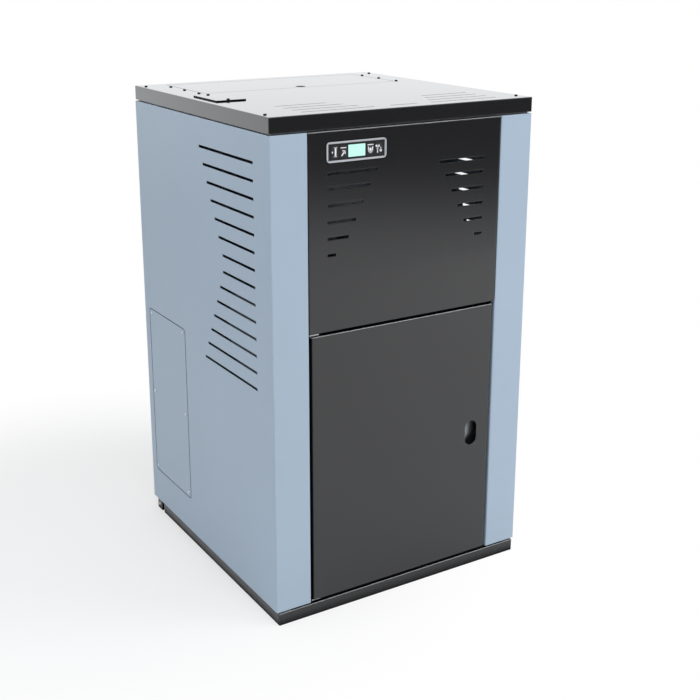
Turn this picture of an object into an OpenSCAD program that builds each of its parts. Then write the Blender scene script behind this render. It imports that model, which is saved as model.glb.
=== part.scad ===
// Pellet boiler with a built-in hopper, a slotted steel casing and a fan flue.
// Millimetres, +Z up, the front faces -Y and +X is to the right of the front.
// The origin is on the floor, midway between the sides and midway between the
// console's face and the end of the flue spigot.

/* [Casing] */
// Width of the casing
body_w = 714; // [706:1:750]
// Depth of the casing
body_d = 738; // [732:1:770]
// Height of the casing to the top cover
body_h = 1200; // [1190:1:1240]
// Thickness of the folded casing sheet
sheet_t = 1.5; // [1.2:0.1:1.8]
// Outer radius of the sheet's folds
fold_r = 3; // [2.5:0.5:4]
// Width of the front pilasters, folded in one with the side panels
pilaster_w = 93; // [86:1:96]
// Height of the top cover's rim
cover_rim = 35; // [30:1:42]
// Thickness of the top cover's plate
cover_t = 2; // [1.6:0.1:2.6]
// Shadow gap above and below the panels
reveal = 4; // [3:0.5:6]
// Height of the base rails
rail_h = 31; // [26:1:40]
// Thickness of the base rails
rail_t = 2; // [1.6:0.1:3]
// How far the side rails stand in from the side panels
rail_inset = 6; // [5:1:7]
// Gap at the seam between two panels
seam = 0.6; // [0.4:0.1:1]

/* [Ventilation slots] */
// Height of every slot
slot_h = 6.6; // [5:0.2:8]
// Number of slots in a side panel
side_slot_rows = 14; // [8:2:14]
// Distance between the side slots
side_slot_pitch = 40.2; // [38:0.2:41]
// From the top of a side panel to its first slot
side_slot_top = 67; // [51:1:81]
// Distance from the front to the side slots
side_slot_start = 76.5; // [60:0.5:90]
// Length of the shortest side slots, at the waist
side_slot_short = 163.5; // [140:0.5:180]
// Growth of each side slot away from the waist
side_slot_step = 18.8; // [14:0.2:20]
// Length of the longest front slots
front_slot_long = 130; // [110:1:140]
// Shortening of each front slot below it
front_slot_step = 18.7; // [14:0.1:20]
// Length of the lowest front slots
front_slot_last = 22; // [15:1:40]
// Distance of the front slots from the pilaster
front_slot_margin = 49; // [40:1:60]
// From the top of the front panel to its first slot
front_slot_top = 94; // [89:1:101]
// Drop from the first front slot to the second
front_slot_drop = 32.5; // [30:0.5:38]
// Distance between the other front slots
front_slot_pitch = 37.5; // [34:0.5:40]
// Width of the slots in the top cover
top_slot_w = 4; // [3:0.2:6]
// Distance between the rows of top slots
top_slot_pitch = 39; // [34:0.5:42]
// Length of the shortest top slots
top_slot_short = 133; // [110:1:150]
// Growth of each row of top slots towards the front
top_slot_step = 18.5; // [14:0.5:20]

/* [Front door] */
// Gap round the front door
door_gap = 7.5; // [6:0.5:9]
// Thickness of the front door
door_t = 22; // [18:0.5:24]
// Height of the front door
door_h = 661; // [640:1:680]
// Radius of the front door's hinge pins
hinge_pin_r = 4; // [3:0.5:4.5]
// Width of the finger hole
finger_w = 36; // [26:1:44]
// Height of the finger hole
finger_h = 64; // [50:1:80]

/* [Console] */
// Width of the control console
console_w = 154.5; // [150:0.5:160]
// Height of the control console
console_h = 45; // [42:0.5:50]
// From the top of the front panel to the console's middle
console_drop = 47; // [41:1:51]
// Width of the display window
display_w = 44; // [38:1:48]
// Height of the display window
display_h = 27; // [22:1:30]
// Travel of a push button
button_travel = 0.8; // [0.4:0.1:1.2]

/* [Hopper] */
// Width of the hopper lid
lid_w = 562; // [520:1:580]
// Depth of the hopper lid
lid_d = 226; // [210:1:232]
// Distance from the back of the casing to the lid
lid_back = 38; // [36:1:44]
// Gap round the hopper lid
lid_gap = 2; // [1.6:0.1:3]
// Thickness of the hopper's sheet
hopper_t = 1.5; // [1.2:0.1:2.5]
// Height of the hopper's funnel
funnel_h = 255; // [230:1:280]

/* [Auger] */
// Inner radius of the auger tube
auger_r = 30; // [27:1:32]
// Wall of the auger tube
auger_wall = 3; // [2:0.5:4]
// Height of the auger's axis
auger_z = 662; // [655:1:672]
// Radius of the auger's shaft
auger_shaft_r = 10; // [8:0.5:12]
// Pitch of the auger's flight
auger_pitch = 50; // [40:1:60]

/* [Boiler body] */
// Width of the water jacket
boiler_w = 380; // [370:1:390]
// Depth of the water jacket
boiler_d = 400; // [392:1:410]
// Height of the water jacket
boiler_h = 540; // [530:1:548]
// Wall of the water jacket
boiler_wall = 5; // [4:0.5:6]
// Height of the feet under the water jacket
boiler_foot = 25; // [20:1:28]
// Width of the firebox
fire_w = 260; // [240:1:270]
// Radius of a smoke tube's bore
smoke_r = 22; // [18:0.5:23]
// Thickness of the insulation
insulation_t = 20; // [12:1:22]

/* [Connections] */
// Radius of the flue spigot
flue_r = 40; // [36:1:45]
// Length of the flue spigot behind the casing
flue_reach = 50; // [40:1:70]
// Radius of the air intake spigot
intake_r = 25; // [22:1:28]
// Length of the air intake spigot behind the casing
intake_reach = 35; // [30:1:45]
// Radius of the threaded water connections
water_r = 13.2; // [12:0.1:14]
// Length of the water connections behind the casing
water_reach = 30; // [20:1:40]

/* [Hidden] */
$fn = 48;

// Colours of the finishes
BLUE = "#a8bbcb";
BLACK = "#3c3d3f";
DARK = "#2b2c2e";
STEEL = "#a9acb0";
CAST = "#4b4845";
COPPER = "#b87c4f";
BRASS = "#c2a24c";
RUBBER = "#1d1d1f";
MINERAL = "#cfc39a";

// Small distances used all over
EPS = 0.01;
over = 1;
run_gap = 0.05;
skin_gap = 0.3;

// Limits of the casing
half_w = body_w / 2;
console_proud = 2;
front_y = -(body_d + flue_reach - console_proud) / 2;
back_y = front_y + body_d;
mid_y = (front_y + back_y) / 2;
plate_top = rail_h + reveal;
panel_top = body_h - cover_rim - reveal;
cover_low = body_h - cover_rim;
cover_under = body_h - cover_t;
panel_edge = 10;
plate_inset = 8;
flue_hole_gap = 6;
pipe_hole_gap = 3;
rear_slot_rows = 6;
rear_slot_x = 70;
rear_slot_drop = 130;

// Frame inside the casing
post_w = 20;
post_t = 2;
post_inset = plate_inset + 2.5;
ring_w = 22;
ring_lip = 12;
rail_w = 30;
rear_rail_d = 29;
rear_rail_back = 11;
rear_rail_gap = 14;
rail_x = half_w - rail_inset;
rail_gap = 2;
base_screw_y = back_y - rear_rail_back - rear_rail_d / 2;
base_screw_z = rail_h / 2;

// Opening between the pilasters
opening_x = half_w - pilaster_w;
return_d = 15;
door_z0 = rail_h + door_gap + 1;
door_z1 = door_z0 + door_h;
front_panel_z0 = door_z1 + door_gap;
door_x = opening_x - door_gap;
door_back = front_y + door_t;
door_axis_x = -door_x + 8.5;
door_axis_y = front_y + 11;
finger_x = door_x - 54.5;
finger_z = 370;
mid_rail_y = door_back + 4;
mid_rail_d = 20;
mid_rail_h = 28;

// Access covers and screws of the sides
access_w = 230;
access_y1 = back_y - 31;
access_y0 = access_y1 - access_w;
access_z0 = 131;
access_z1 = 604;
access_gap = 1;
access_lip = 22;
access_h = access_z1 - access_z0;
access_y = (access_y0 + access_y1) / 2;
access_z = (access_z0 + access_z1) / 2;
access_r = 8;
access_rows = [144, 368, 593];
access_inset = 13;
screw_r = 2;
screw_len = 7;
screw_head_r = 3.8;
screw_head_h = 2.2;
screw_bevel = 0.8;
screw_cross = 0.8;

// Top cover and the rows of slots in it and in the front panel
front_slot_rows = 6;
top_slot_rows = 4;
top_slot_front = 41;
top_slot_left = 101;
top_slot_right = 80;
top_slot_mid_x0 = -24;
top_slot_mid_x1 = 48;
service_x0 = -half_w + 25;
service_x1 = service_x0 + 77;
service_t = 3;
service_lap = 10;
service_screw_x = (service_x0 + service_x1) / 2 - 4;
lid_rear_y = back_y - lid_back;
lid_front_y = lid_rear_y - lid_d;
service_y1 = lid_front_y - 45;
service_y0 = service_y1 - 129;
lid_x = lid_w / 2;
lid_t = cover_t;
lid_hole_r = 13;
lid_hole_in = 20;
lid_boss_t = 2;
lid_boss_h = 6;
lid_pin_r = 3;
lid_axis_y = lid_rear_y - 20;
lid_axis_z = cover_under - lid_pin_r - 2;
lid_rim_h = 12;
lid_rim_in = 6;
lid_rim_t = 2;
gasket_t = 2;
ledge_w = 14;
ledge_rear = 16;
ledge_z = cover_under - lid_rim_h - gasket_t;
collar_x = lid_x + lid_gap;
collar_front = lid_front_y - lid_gap;
collar_rear = lid_rear_y + lid_gap;
collar_h = 48;
collar_flange = 20;
lid_screw_x = collar_x + 8.5;
lid_screw_y = [lid_front_y + 10, lid_front_y + 96, lid_front_y + 181];
corner_screw_in = 15;
corner_screw_front = 44;
corner_screw_back = 40;

// Hopper and auger
hopper_x = collar_x - skin_gap;
hopper_front = collar_front + skin_gap;
hopper_rear = collar_rear - skin_gap;
funnel_x = auger_r;
funnel_z0 = auger_z + auger_r + auger_wall + 3;
funnel_z1 = funnel_z0 + funnel_h;
funnel_y0 = hopper_front + 45;
funnel_y1 = hopper_rear - 45;
auger_out = auger_r + auger_wall;
auger_clear = 2.5;
funnel_flange_x = 12;
funnel_flange_y = 10;
funnel_flange_t = 2;
auger_end = 4;
auger_saddle = 8;
auger_foot = 6;
auger_bearing = auger_shaft_r / 2;
flight_t = 10;
flight_gap = 7;
flight_slices = 18;
gear_x = 38;
gear_d = 28;
auger_motor_r = 26;
auger_motor_l = 42;

// Boiler body
boiler_x = boiler_w / 2;
boiler_y0 = front_y + 64;
boiler_y1 = boiler_y0 + boiler_d;
boiler_z0 = plate_top + boiler_foot;
boiler_z1 = boiler_z0 + boiler_h;
fire_x = fire_w / 2;
fire_y0 = boiler_y0 + 20;
fire_y1 = boiler_y0 + 200;
fire_z0 = boiler_z0 + 90;
fire_z1 = boiler_z1 - 40;
fire_door_x = fire_x - 10;
fire_door_z0 = fire_z0 + 85;
fire_door_z1 = fire_z1 - 55;
pit_z0 = boiler_z0 + boiler_wall + 1;
pit_z1 = fire_z0 - 5;
pit_x = fire_x - 5;
smoke_y0 = fire_y1 + 10;
smoke_y1 = boiler_y1 - 20;
turn_z0 = fire_z1 - 50;
smoke_z1 = boiler_z0 + 120;
tube_wall = 3;
smoke_cols = 4;
smoke_rows = 3;
smoke_pitch_x = 62;
smoke_pitch_y = 54;
smoke_mid_y = (smoke_y0 + smoke_y1) / 2;
hatch_x = fire_x - 8;
hatch_y0 = smoke_y0 + 10;
hatch_y1 = smoke_y1 - 6;
hatch_t = 6;
hatch_plug = 14;
hatch_lap = 18;
chute_y = (fire_y0 + fire_y1) / 2;
chute_r = 32;
chute_wall = 2;
chute_flange = 10;
chute_flange_t = 4;
chute_pad = 6;
chute_top = auger_z - auger_out - 3;
auger_y0 = chute_y - chute_r - 12;
auger_y1 = funnel_y1 + 6;
outlet_r = 45;
boss_r = 19;
boss_l = insulation_t + 5;
water_x = boiler_x + boss_l + 30;
flow_y = boiler_y1 - 60;
flow_z = boiler_z1 - 45;
return_y = boiler_y0 + 135;
return_z = boiler_z0 + 85;
drain_y = boiler_y0 + 40;
drain_z = boiler_z0 + 30;
drain_r = 7;
foot_x = 20;
foot_w = 40;
foot_in = 10;
lining_t = 14;
lining_z1 = turn_z0 - 20;
air_y = chute_y;
air_z = fire_z0 + 38;
air_r = 18;
air_wall = 1.5;
air_gap = 1;

// Burner, firebox door and ash drawer
pot_x = 55;
pot_y = 50;
pot_h = 80;
pot_wall = 5;
pot_seat_r = 42;
pot_seat_h = 4;
pot_flange = 8;
pot_flange_t = 6;
pot_floor = 10;
pot_hole_r = 4;
pot_hole_dx = 18;
pot_hole_dy = 24;
pot_jet_r = 3.5;
pot_jet_dx = 26;
pot_jet_z = 50;
igniter_r = 5;
igniter_cap_r = 9;
igniter_z = fire_z0 + 28;
igniter_reach = 8;
fdoor_x = fire_x + 12;
fdoor_t = 12;
fdoor_z0 = fire_door_z0 - 20;
fdoor_z1 = fire_door_z1 + 20;
fdoor_axis_x = -fdoor_x - 10;
fdoor_axis_y = boiler_y0 - fdoor_t;
fdoor_pin_r = 4;
knuckle_r = 7;
knuckle_h = 26;
knuckle_foot = 12;
hinge_in = 30;
fdoor_hinge_z = [fdoor_z0 + hinge_in, fdoor_z1 - hinge_in - knuckle_h];
glass_frame = 18;
glass_frame_t = 4;
glass_rebate = 10;
glass_x = 80;
glass_z0 = fdoor_z0 + 70;
glass_z1 = fdoor_z1 - 60;
glass_t = 4;
handle_x = fdoor_x - 14;
handle_z = (fdoor_z0 + fdoor_z1) / 2;
handle_r = 5;
handle_out = 12;
handle_disc = 9;
grip_r = 7;
grip_l = 60;
grip_drop = 30;
drawer_gap = 1;
drawer_h = 62;
drawer_face = 4;
drawer_back = 12;
drawer_lap = 10;
pull_reach = 22;
pull_half = 52;
pull_post_x = 45;
pull_post_r = 4;
pull_bar_r = 5;

// Hatch over the smoke tubes, and the scraper that cleans them
rod_hole_x = -hatch_x + 20;
rod_seal_r = 11;
rod_seal_h = 16;
hatch_screw_r = 5;
hatch_screw_in = 10;
hatch_screw_y = 60;
pull_x = (service_x0 + service_x1) / 2;
pull_y = (service_y0 + service_y1) / 2;
bridge_z = boiler_z1 + 44;
bridge_t = 8;
bridge_half = 6;
lift = 40;
knob_r = 16;
knob_z = body_h - cover_rim - lift - knob_r - 20;
scraper_r = 5;
comb_z = turn_z0 + 4;
comb_t = 4;
comb_edge = 12;
comb_hole_r = 20;
twist_l = turn_z0 - smoke_z1 - 60;
twist_w = smoke_r * 1.5;
twist_t = 3;
twist_turn = 720;
twist_slices = 24;

// Exhaust fan and flue
fan_z = boiler_z0 + 68;
fan_r = 82;
fan_wall = 2;
fan_y0 = boiler_y1;
fan_y1 = fan_y0 + 62;
fan_shaft_r = 4;
impeller_r = 62;
impeller_y0 = fan_y0 + 14;
impeller_y1 = fan_y1 - 12;
hub_r = 12;
blades = 10;
blade_t = 2;
fan_motor_r = 38;
fan_motor_l = 60;
fan_flange_r = 50;
fan_flange_t = 3;
fan_shaft_l = 40;
flue_x = 140;
flue_z = fan_z + 20;
flue_box_w = 104;
duct_x = flue_x - flue_box_w / 2;
flue_box_y1 = fan_y1 + 40;
duct_low = 20;
duct_rise = 10;
fan_leg_r = 6;
fan_foot_x = 30;
fan_foot_t = 4;
flue_wall = 1.5;
intake_x = boiler_x + insulation_t + 40;
step = 1.2;
pipe_wall = 2;
elbow = 20;

// Hydraulics and electrics
vessel_r = 105;
vessel_w = 100;
vessel_round = 12;
vessel_x = -half_w + 16;
vessel_y = front_y + 155;
vessel_z = 680;
vessel_neck_r = 14;
vessel_neck_l = 6;
bracket_half = 50;
bracket_t = 4;
bracket_rise = 40;
bracket_reach = 60;
pump_y = boiler_y0 + 235;
pump_half = 62;
pump_r = 42;
pump_w = 52;
pump_shift = 22;
pump_motor_r = 48;
pump_motor_w = 32;
pump_neck_r = 22;
water_in_r = water_r - step - pipe_wall;
valve_r = 10;
valve_y = flow_y + 60;
valve_z = flow_z + water_r + 4;
valve_h = 26;
valve_cap_r = 15;
valve_cap_h = 16;
valve_side_r = 9;
valve_side_z = 14;
cock_x = boiler_x + 44;
cock_r = 12;
cock_out_r = 10;
cock_out_l = 34;
cock_neck_r = 8;
cock_neck_h = 17;
cock_end = 14;
spindle_r = 3;
lever_t = 4;
lever_l = 44;
lever_w = 12;
inlet_x = half_w - 90;
inlet_z = 264;
inlet_w = 28;
inlet_h = 48;
switch_z = inlet_z + 50;
switch_w = 22;
switch_h = 30;
rocker_tilt = 8;
rocker_x = switch_w / 2 - 2.5;
axle_r = 1.5;
axle_in = 3;
socket_rim = 5;
socket_rim_t = 3;
socket_wall = 2;
socket_d = 24;
socket_open_d = 18;
socket_half = 12;
switch_d = 16;
earth_pin_z = 6;
pin_half = 7;
unit_left = 70;
unit_right = 50;
unit_d = 62;
unit_h = 190;
unit_gap = 30;
unit_plugs = 4;
unit_plug_w = 20;
unit_plug_pitch = 26;

// Console
console_x = -half_w + 217;
console_z = panel_top - console_drop;
console_r = 8;
console_dish = 1;
console_rim = 2.2;
console_body = 10;
button_w = 17;
button_h = 27;
button_mid = [-57, -35, 35, 57];
button_round = 2;
button_sunk = 0.4;
cap_back = 2;
stem_r = 2.5;
stem_end = 3;
display_round = 1;
display_lip = 2;
display_sunk = 1.2;
board_t = 1.6;
tact_half = 3;
tact_gap = 0.1;
plug_x = 20;
plug_z = 8;
plug_d = 8;

// Front door and its hinges
door_lip = 12;
bearing_w = 26;
bearing_h = 12;
liner_gap = 1;
liner_t = 1.5;
hinge_half = 12;
hinge_front = 6;
hinge_plate_t = 3;
hinge_back = 24;
magnet_x0 = 60;
magnet_x1 = 20;
magnet_top = 4;
magnet_h = 14;

module box(x0, x1, y0, y1, z0, z1) {
  translate([x0, y0, z0]) cube([x1 - x0, y1 - y0, z1 - z0]);
}

// Four plates of a case without floor and lid, with open weld seams
module four_walls(x, y0, y1, z0, z1, t) {
  for (sx = [-1, 1]) translate([sx * (x - t / 2), 0, 0]) box(-t / 2, t / 2, y0, y1, z0, z1);
  for (y = [y0, y1 - t]) box(-x + t + skin_gap, x - t - skin_gap, y, y + t, z0, z1);
}

// Four bars of width t round a square hole of half width r
module four_bars(r, t, y, z0, z1) {
  four_walls(r + t, y - r - t, y + r + t, z0, z1, t);
}

// Six plates of a closed case
module six_plates(x, y0, y1, z0, z1, t) {
  for (z = [z0, z1 - t]) box(-x, x, y0, y1, z, z + t);
  four_walls(x, y0, y1, z0 + t + skin_gap, z1 - t - skin_gap, t);
}

module rod_x(r, x0, x1, y, z) {
  translate([x0, y, z]) rotate([0, 90, 0]) cylinder(r = r, h = x1 - x0);
}

module rod_y(r, x, y0, y1, z) {
  translate([x, y0, z]) rotate([-90, 0, 0]) cylinder(r = r, h = y1 - y0);
}

module rod_z(r, x, y, z0, z1) {
  translate([x, y, z0]) cylinder(r = r, h = z1 - z0);
}

// Flat rectangle with round corners, drawn about its middle
module round_rect(w, h, r) {
  square([w - 2 * r, h], center = true);
  square([w, h - 2 * r], center = true);
  for (sx = [-1, 1], sy = [-1, 1])
    translate([sx * (w / 2 - r), sy * (h / 2 - r)]) circle(r = r);
}

// Flat slot with round ends, taller than it is wide, drawn about its middle
module stadium(w, h) {
  square([w, h - w], center = true);
  for (s = [-1, 1]) translate([0, s * (h - w) / 2]) circle(r = w / 2);
}

// Round-cornered plate standing upright in the XZ plane, from y0 to y1
module upright_plate(w, h, r, x, y0, y1, z) {
  translate([x, y1, z]) rotate([90, 0, 0]) linear_extrude(y1 - y0) round_rect(w, h, r);
}

// Round-cornered plate standing upright in the YZ plane, from x0 to x1
module side_plate(w, h, r, x0, x1, y, z) {
  translate([x0, y, z]) rotate([90, 0, 90]) linear_extrude(x1 - x0) round_rect(w, h, r);
}

// Quarter ring of a sheet fold that turns from the -Y face to the -X face
module fold(r) {
  difference() {
    intersection() {
      circle(r = r);
      translate([-r, -r]) square(r);
    }
    circle(r = r - sheet_t);
  }
}

module on_both_sides() {
  children();
  mirror([1, 0, 0]) children();
}

// C-shaped rail along X, open to the back
module channel_x(x0, x1, y, w, h, t, lip0, lip1) {
  box(x0, x1, y, y + t, 0, h);
  box(lip0, lip1, y, y + w, h - t, h);
  box(lip0, lip1, y, y + w, 0, t);
}

module base_u_rail() {
  color(BLACK) {
    side_front = front_y + rail_t + rail_gap;
    side_back = back_y - rear_rail_back - rear_rail_d - rear_rail_gap;
    channel_x(-rail_x, rail_x, front_y, rail_w, rail_h, rail_t, -rail_x + rail_w + rail_gap,
      rail_x - rail_w - rail_gap);
    on_both_sides() {
      box(-rail_x, -rail_x + rail_t, side_front, side_back, 0, rail_h);
      box(-rail_x, -rail_x + rail_w, side_front, side_back, rail_h - rail_t, rail_h);
      box(-rail_x, -rail_x + rail_w, side_front, side_back, 0, rail_t);
    }
  }
}

module base_rear_rail() {
  color(BLACK) {
    y1 = back_y - rear_rail_back;
    y0 = y1 - rear_rail_d;
    difference() {
      box(-rail_x, rail_x, y0, y1, 0, rail_h);
      box(-rail_x + rail_t, rail_x - rail_t, y0 - over, y1 - rail_t, rail_t, rail_h - rail_t);
      on_both_sides()
        rod_x(screw_r + run_gap, -rail_x - over, -rail_x + rail_t + over, base_screw_y,
          base_screw_z);
    }
  }
}

module base_plate() {
  color(DARK)
    box(-half_w + plate_inset, half_w - plate_inset, front_y + plate_inset,
      back_y - rear_rail_back, rail_h, plate_top);
}

module ring(outer_in, w, z0, z1) {
  x = half_w - outer_in;
  y0 = front_y + outer_in;
  y1 = back_y - outer_in;
  difference() {
    box(-x, x, y0, y1, z0, z1);
    box(-x + w, x - w, y0 + w, y1 - w, z0 - over, z1 + over);
  }
}

module inner_frame() {
  color(STEEL) {
    for (sx = [0, 1], sy = [0, 1])
      translate([0, mid_y, 0]) mirror([sx, 0, 0]) mirror([0, sy, 0])
        translate([-half_w + post_inset, -body_d / 2 + post_inset, plate_top])
          linear_extrude(panel_top - plate_top) {
            square([post_w, post_t]);
            square([post_t, post_w]);
          }
    difference() {
      union() {
        ring(plate_inset, ring_w, panel_top, panel_top + rail_t);
        ring(plate_inset, rail_t, panel_top, cover_under);
        ring(plate_inset, ring_lip, cover_under - rail_t, cover_under);
      }
      corner_screw_holes(cover_under - rail_t - over, cover_under + over);
    }
  }
}

module mid_rail() {
  color(DARK) {
    x = half_w - post_inset - post_w;
    difference() {
      box(-x, x, mid_rail_y, mid_rail_y + mid_rail_d, front_panel_z0 - mid_rail_h, front_panel_z0);
      box(-x - over, x + over, mid_rail_y + rail_t, mid_rail_y + mid_rail_d + over,
        front_panel_z0 - mid_rail_h + rail_t, front_panel_z0 - rail_t);
    }
  }
}

module base_rails() {
  base_u_rail();
  base_rear_rail();
  mid_rail();
}

// Length of a side slot, counted from the top
function side_slot_len(i) = side_slot_short
  + side_slot_step * (i < side_slot_rows / 2 ? side_slot_rows / 2 - 1 - i : i - side_slot_rows / 2);

// The left panel with its pilaster; the right one is its mirror image
module side_shell() {
  difference() {
    union() {
      translate([0, 0, plate_top]) linear_extrude(panel_top - plate_top) {
        translate([-half_w + fold_r, front_y + fold_r]) fold(fold_r);
        translate([-half_w, front_y + fold_r]) square([sheet_t, body_d - fold_r]);
        translate([-half_w + fold_r, front_y]) square([pilaster_w - 2 * fold_r, sheet_t]);
        translate([-opening_x - fold_r, front_y + fold_r]) mirror([1, 0, 0]) fold(fold_r);
        translate([-opening_x - sheet_t, front_y + fold_r]) square([sheet_t, return_d - fold_r]);
        translate([-half_w, back_y - 2 * sheet_t]) square([ring_w, sheet_t]);
      }
      for (z = [plate_top, panel_top - sheet_t]) {
        box(-half_w + EPS, -half_w + panel_edge, front_y + fold_r, back_y - 2 * sheet_t, z,
          z + sheet_t);
        box(-half_w + fold_r, -opening_x - fold_r, front_y + EPS, front_y + panel_edge, z,
          z + sheet_t);
      }
      side_plate(access_w + access_lip, access_h + access_lip, fold_r,
        -half_w + sheet_t - EPS, -half_w + 2 * sheet_t, access_y, access_z);
    }
    for (i = [0 : side_slot_rows - 1])
      box(-half_w - over, -half_w + sheet_t + over, front_y + side_slot_start,
        front_y + side_slot_start + side_slot_len(i),
        panel_top - side_slot_top - i * side_slot_pitch - slot_h / 2,
        panel_top - side_slot_top - i * side_slot_pitch + slot_h / 2);
    side_plate(access_w + 2 * access_gap, access_h + 2 * access_gap, access_r + access_gap,
      -half_w - over, -half_w + sheet_t, access_y, access_z);
    side_plate(access_w - 2 * access_lip, access_h - 2 * access_lip, access_r,
      -half_w - over, -half_w + 3 * sheet_t, access_y, access_z);
    access_holes(screw_r + run_gap);
  }
}

module access_holes(r) {
  for (y = [access_y0 + access_inset, access_y1 - access_inset], z = access_rows)
    rod_x(r, -half_w - over, -half_w + 3 * sheet_t, y, z);
}

module left_side_panel() {
  color(BLUE) side_shell();
}

module right_side_panel() {
  color(BLUE) mirror([1, 0, 0]) side_shell();
}

module access_covers() {
  color(BLUE) on_both_sides()
    difference() {
      side_plate(access_w, access_h, access_r, -half_w, -half_w + sheet_t, access_y, access_z);
      access_holes(screw_r + run_gap);
    }
}

// Pan-head screw, its head's underside at the origin and its shank along -Z
module screw() {
  translate([0, 0, -screw_len]) cylinder(r = screw_r, h = screw_len + EPS);
  difference() {
    union() {
      cylinder(r = screw_head_r, h = screw_head_h - screw_bevel);
      translate([0, 0, screw_head_h - screw_bevel - EPS])
        cylinder(r1 = screw_head_r, r2 = screw_head_r - screw_bevel, h = screw_bevel + EPS);
    }
    for (a = [0, 90])
      rotate([0, 0, a]) translate([-screw_r, -screw_cross / 2, screw_head_h - screw_cross])
        cube([2 * screw_r, screw_cross, screw_cross + over]);
  }
}

module panel_screws() {
  color(STEEL) on_both_sides() {
    for (y = [access_y0 + access_inset, access_y1 - access_inset], z = access_rows)
      translate([-half_w, y, z]) rotate([0, -90, 0]) screw();
    translate([-half_w + rail_inset, base_screw_y, base_screw_z]) rotate([0, -90, 0]) screw();
  }
}

function front_slot_len(i) = i < front_slot_rows - 1
  ? front_slot_long - i * front_slot_step : front_slot_last;
function front_slot_z(i) = panel_top - front_slot_top
  - (i > 0 ? front_slot_drop + (i - 1) * front_slot_pitch : 0);

module front_panel() {
  color(BLACK) {
    x = opening_x - seam;
    difference() {
      union() {
        translate([0, 0, front_panel_z0]) linear_extrude(panel_top - front_panel_z0) {
          on_both_sides() {
            translate([-x + fold_r, front_y + fold_r]) fold(fold_r);
            translate([-x, front_y + fold_r]) square([sheet_t, return_d - fold_r]);
          }
          translate([-x + fold_r, front_y]) square([2 * (x - fold_r), sheet_t]);
        }
        box(-x + fold_r, x - fold_r, front_y + EPS, front_y + panel_edge, panel_top - sheet_t,
          panel_top);
        box(-x + fold_r, x - fold_r, front_y + EPS, mid_rail_y + mid_rail_d,
          front_panel_z0, front_panel_z0 + sheet_t);
      }
      for (i = [0 : front_slot_rows - 1]) on_both_sides()
        box(-opening_x + front_slot_margin, -opening_x + front_slot_margin + front_slot_len(i),
          front_y - over, front_y + sheet_t + over,
          front_slot_z(i) - slot_h / 2, front_slot_z(i) + slot_h / 2);
      upright_plate(console_w - 2 * console_rim + 2 * skin_gap,
        console_h - 2 * console_rim + 2 * skin_gap,
        console_r - console_rim, console_x, front_y - over, front_y + sheet_t + over, console_z);
    }
  }
}

module rear_panel() {
  color(STEEL) {
    x = half_w - sheet_t - seam;
    difference() {
      box(-x, x, back_y - sheet_t, back_y, plate_top, panel_top);
      translate([0, back_y - sheet_t - over, 0]) {
        rod_y(flue_r + flue_hole_gap, flue_x, 0, sheet_t + 2 * over, flue_z);
        rod_y(intake_r + pipe_hole_gap, intake_x, 0, sheet_t + 2 * over, air_z);
        rod_y(water_r + pipe_hole_gap, -water_x, 0, sheet_t + 2 * over, flow_z);
        rod_y(water_r + pipe_hole_gap, -water_x, 0, sheet_t + 2 * over, return_z);
      }
      box(inlet_x - inlet_w / 2 - skin_gap, inlet_x + inlet_w / 2 + skin_gap,
        back_y - sheet_t - over, back_y + over, inlet_z - inlet_h / 2 - skin_gap,
          inlet_z + inlet_h / 2 + skin_gap);
      box(inlet_x - switch_w / 2 - skin_gap, inlet_x + switch_w / 2 + skin_gap,
        back_y - sheet_t - over, back_y + over, switch_z - switch_h / 2 - skin_gap,
          switch_z + switch_h / 2 + skin_gap);
      for (i = [0 : rear_slot_rows - 1])
        box(-rear_slot_x, rear_slot_x, back_y - sheet_t - over, back_y + over,
          rear_slot_z(i) - slot_h / 2, rear_slot_z(i) + slot_h / 2);
    }
  }
}

function rear_slot_z(i) = auger_z - rear_slot_drop - i * front_slot_pitch / 2;

function top_slot_y(i) = front_y + top_slot_front + i * top_slot_pitch;
function top_slot_len(i) = top_slot_short + (top_slot_rows - 1 - i) * top_slot_step;

module corner_screw_holes(z0, z1) {
  for (sx = [-1, 1], y = [front_y + corner_screw_front, back_y - corner_screw_back])
    rod_z(screw_r + run_gap, sx * (half_w - corner_screw_in), y, z0, z1);
}

module lid_screw_holes(z0, z1) {
  for (sx = [-1, 1], y = lid_screw_y)
    rod_z(screw_r + run_gap, sx * lid_screw_x, y, z0, z1);
}

module top_cover() {
  color(BLACK)
    difference() {
      translate([0, mid_y, 0]) intersection() {
        translate([0, 0, cover_low]) linear_extrude(cover_rim) round_rect(body_w, body_d, fold_r);
        rounded_top(body_w, body_d, [0, 0]);
        rounded_top(body_d, body_w, [0, 0, 90]);
      }
      translate([0, mid_y, cover_low - over]) linear_extrude(cover_rim - cover_t + over)
        round_rect(body_w - 2 * sheet_t, body_d - 2 * sheet_t, fold_r - sheet_t / 2);
      box(-collar_x, collar_x, collar_front, collar_rear, cover_low, body_h + over);
      box(service_x0 + service_lap, service_x1 - service_lap, service_y0 + service_lap * 2,
        service_y1 - service_lap * 2, cover_low, body_h + over);
      for (i = [0 : top_slot_rows - 1]) {
        box(-half_w + top_slot_left, -half_w + top_slot_left + top_slot_len(i),
          top_slot_y(i) - top_slot_w / 2, top_slot_y(i) + top_slot_w / 2, cover_low, body_h + over);
        box(half_w - top_slot_right - top_slot_len(i), half_w - top_slot_right,
          top_slot_y(i) - top_slot_w / 2, top_slot_y(i) + top_slot_w / 2, cover_low, body_h + over);
      }
      box(top_slot_mid_x0, top_slot_mid_x1, top_slot_y(0) - top_slot_w / 2,
        top_slot_y(0) + top_slot_w / 2, cover_low, body_h + over);
      corner_screw_holes(cover_low, body_h + over);
      lid_screw_holes(cover_low, body_h + over);
      service_screw_holes(cover_low, body_h + over);
    }
}

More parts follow.
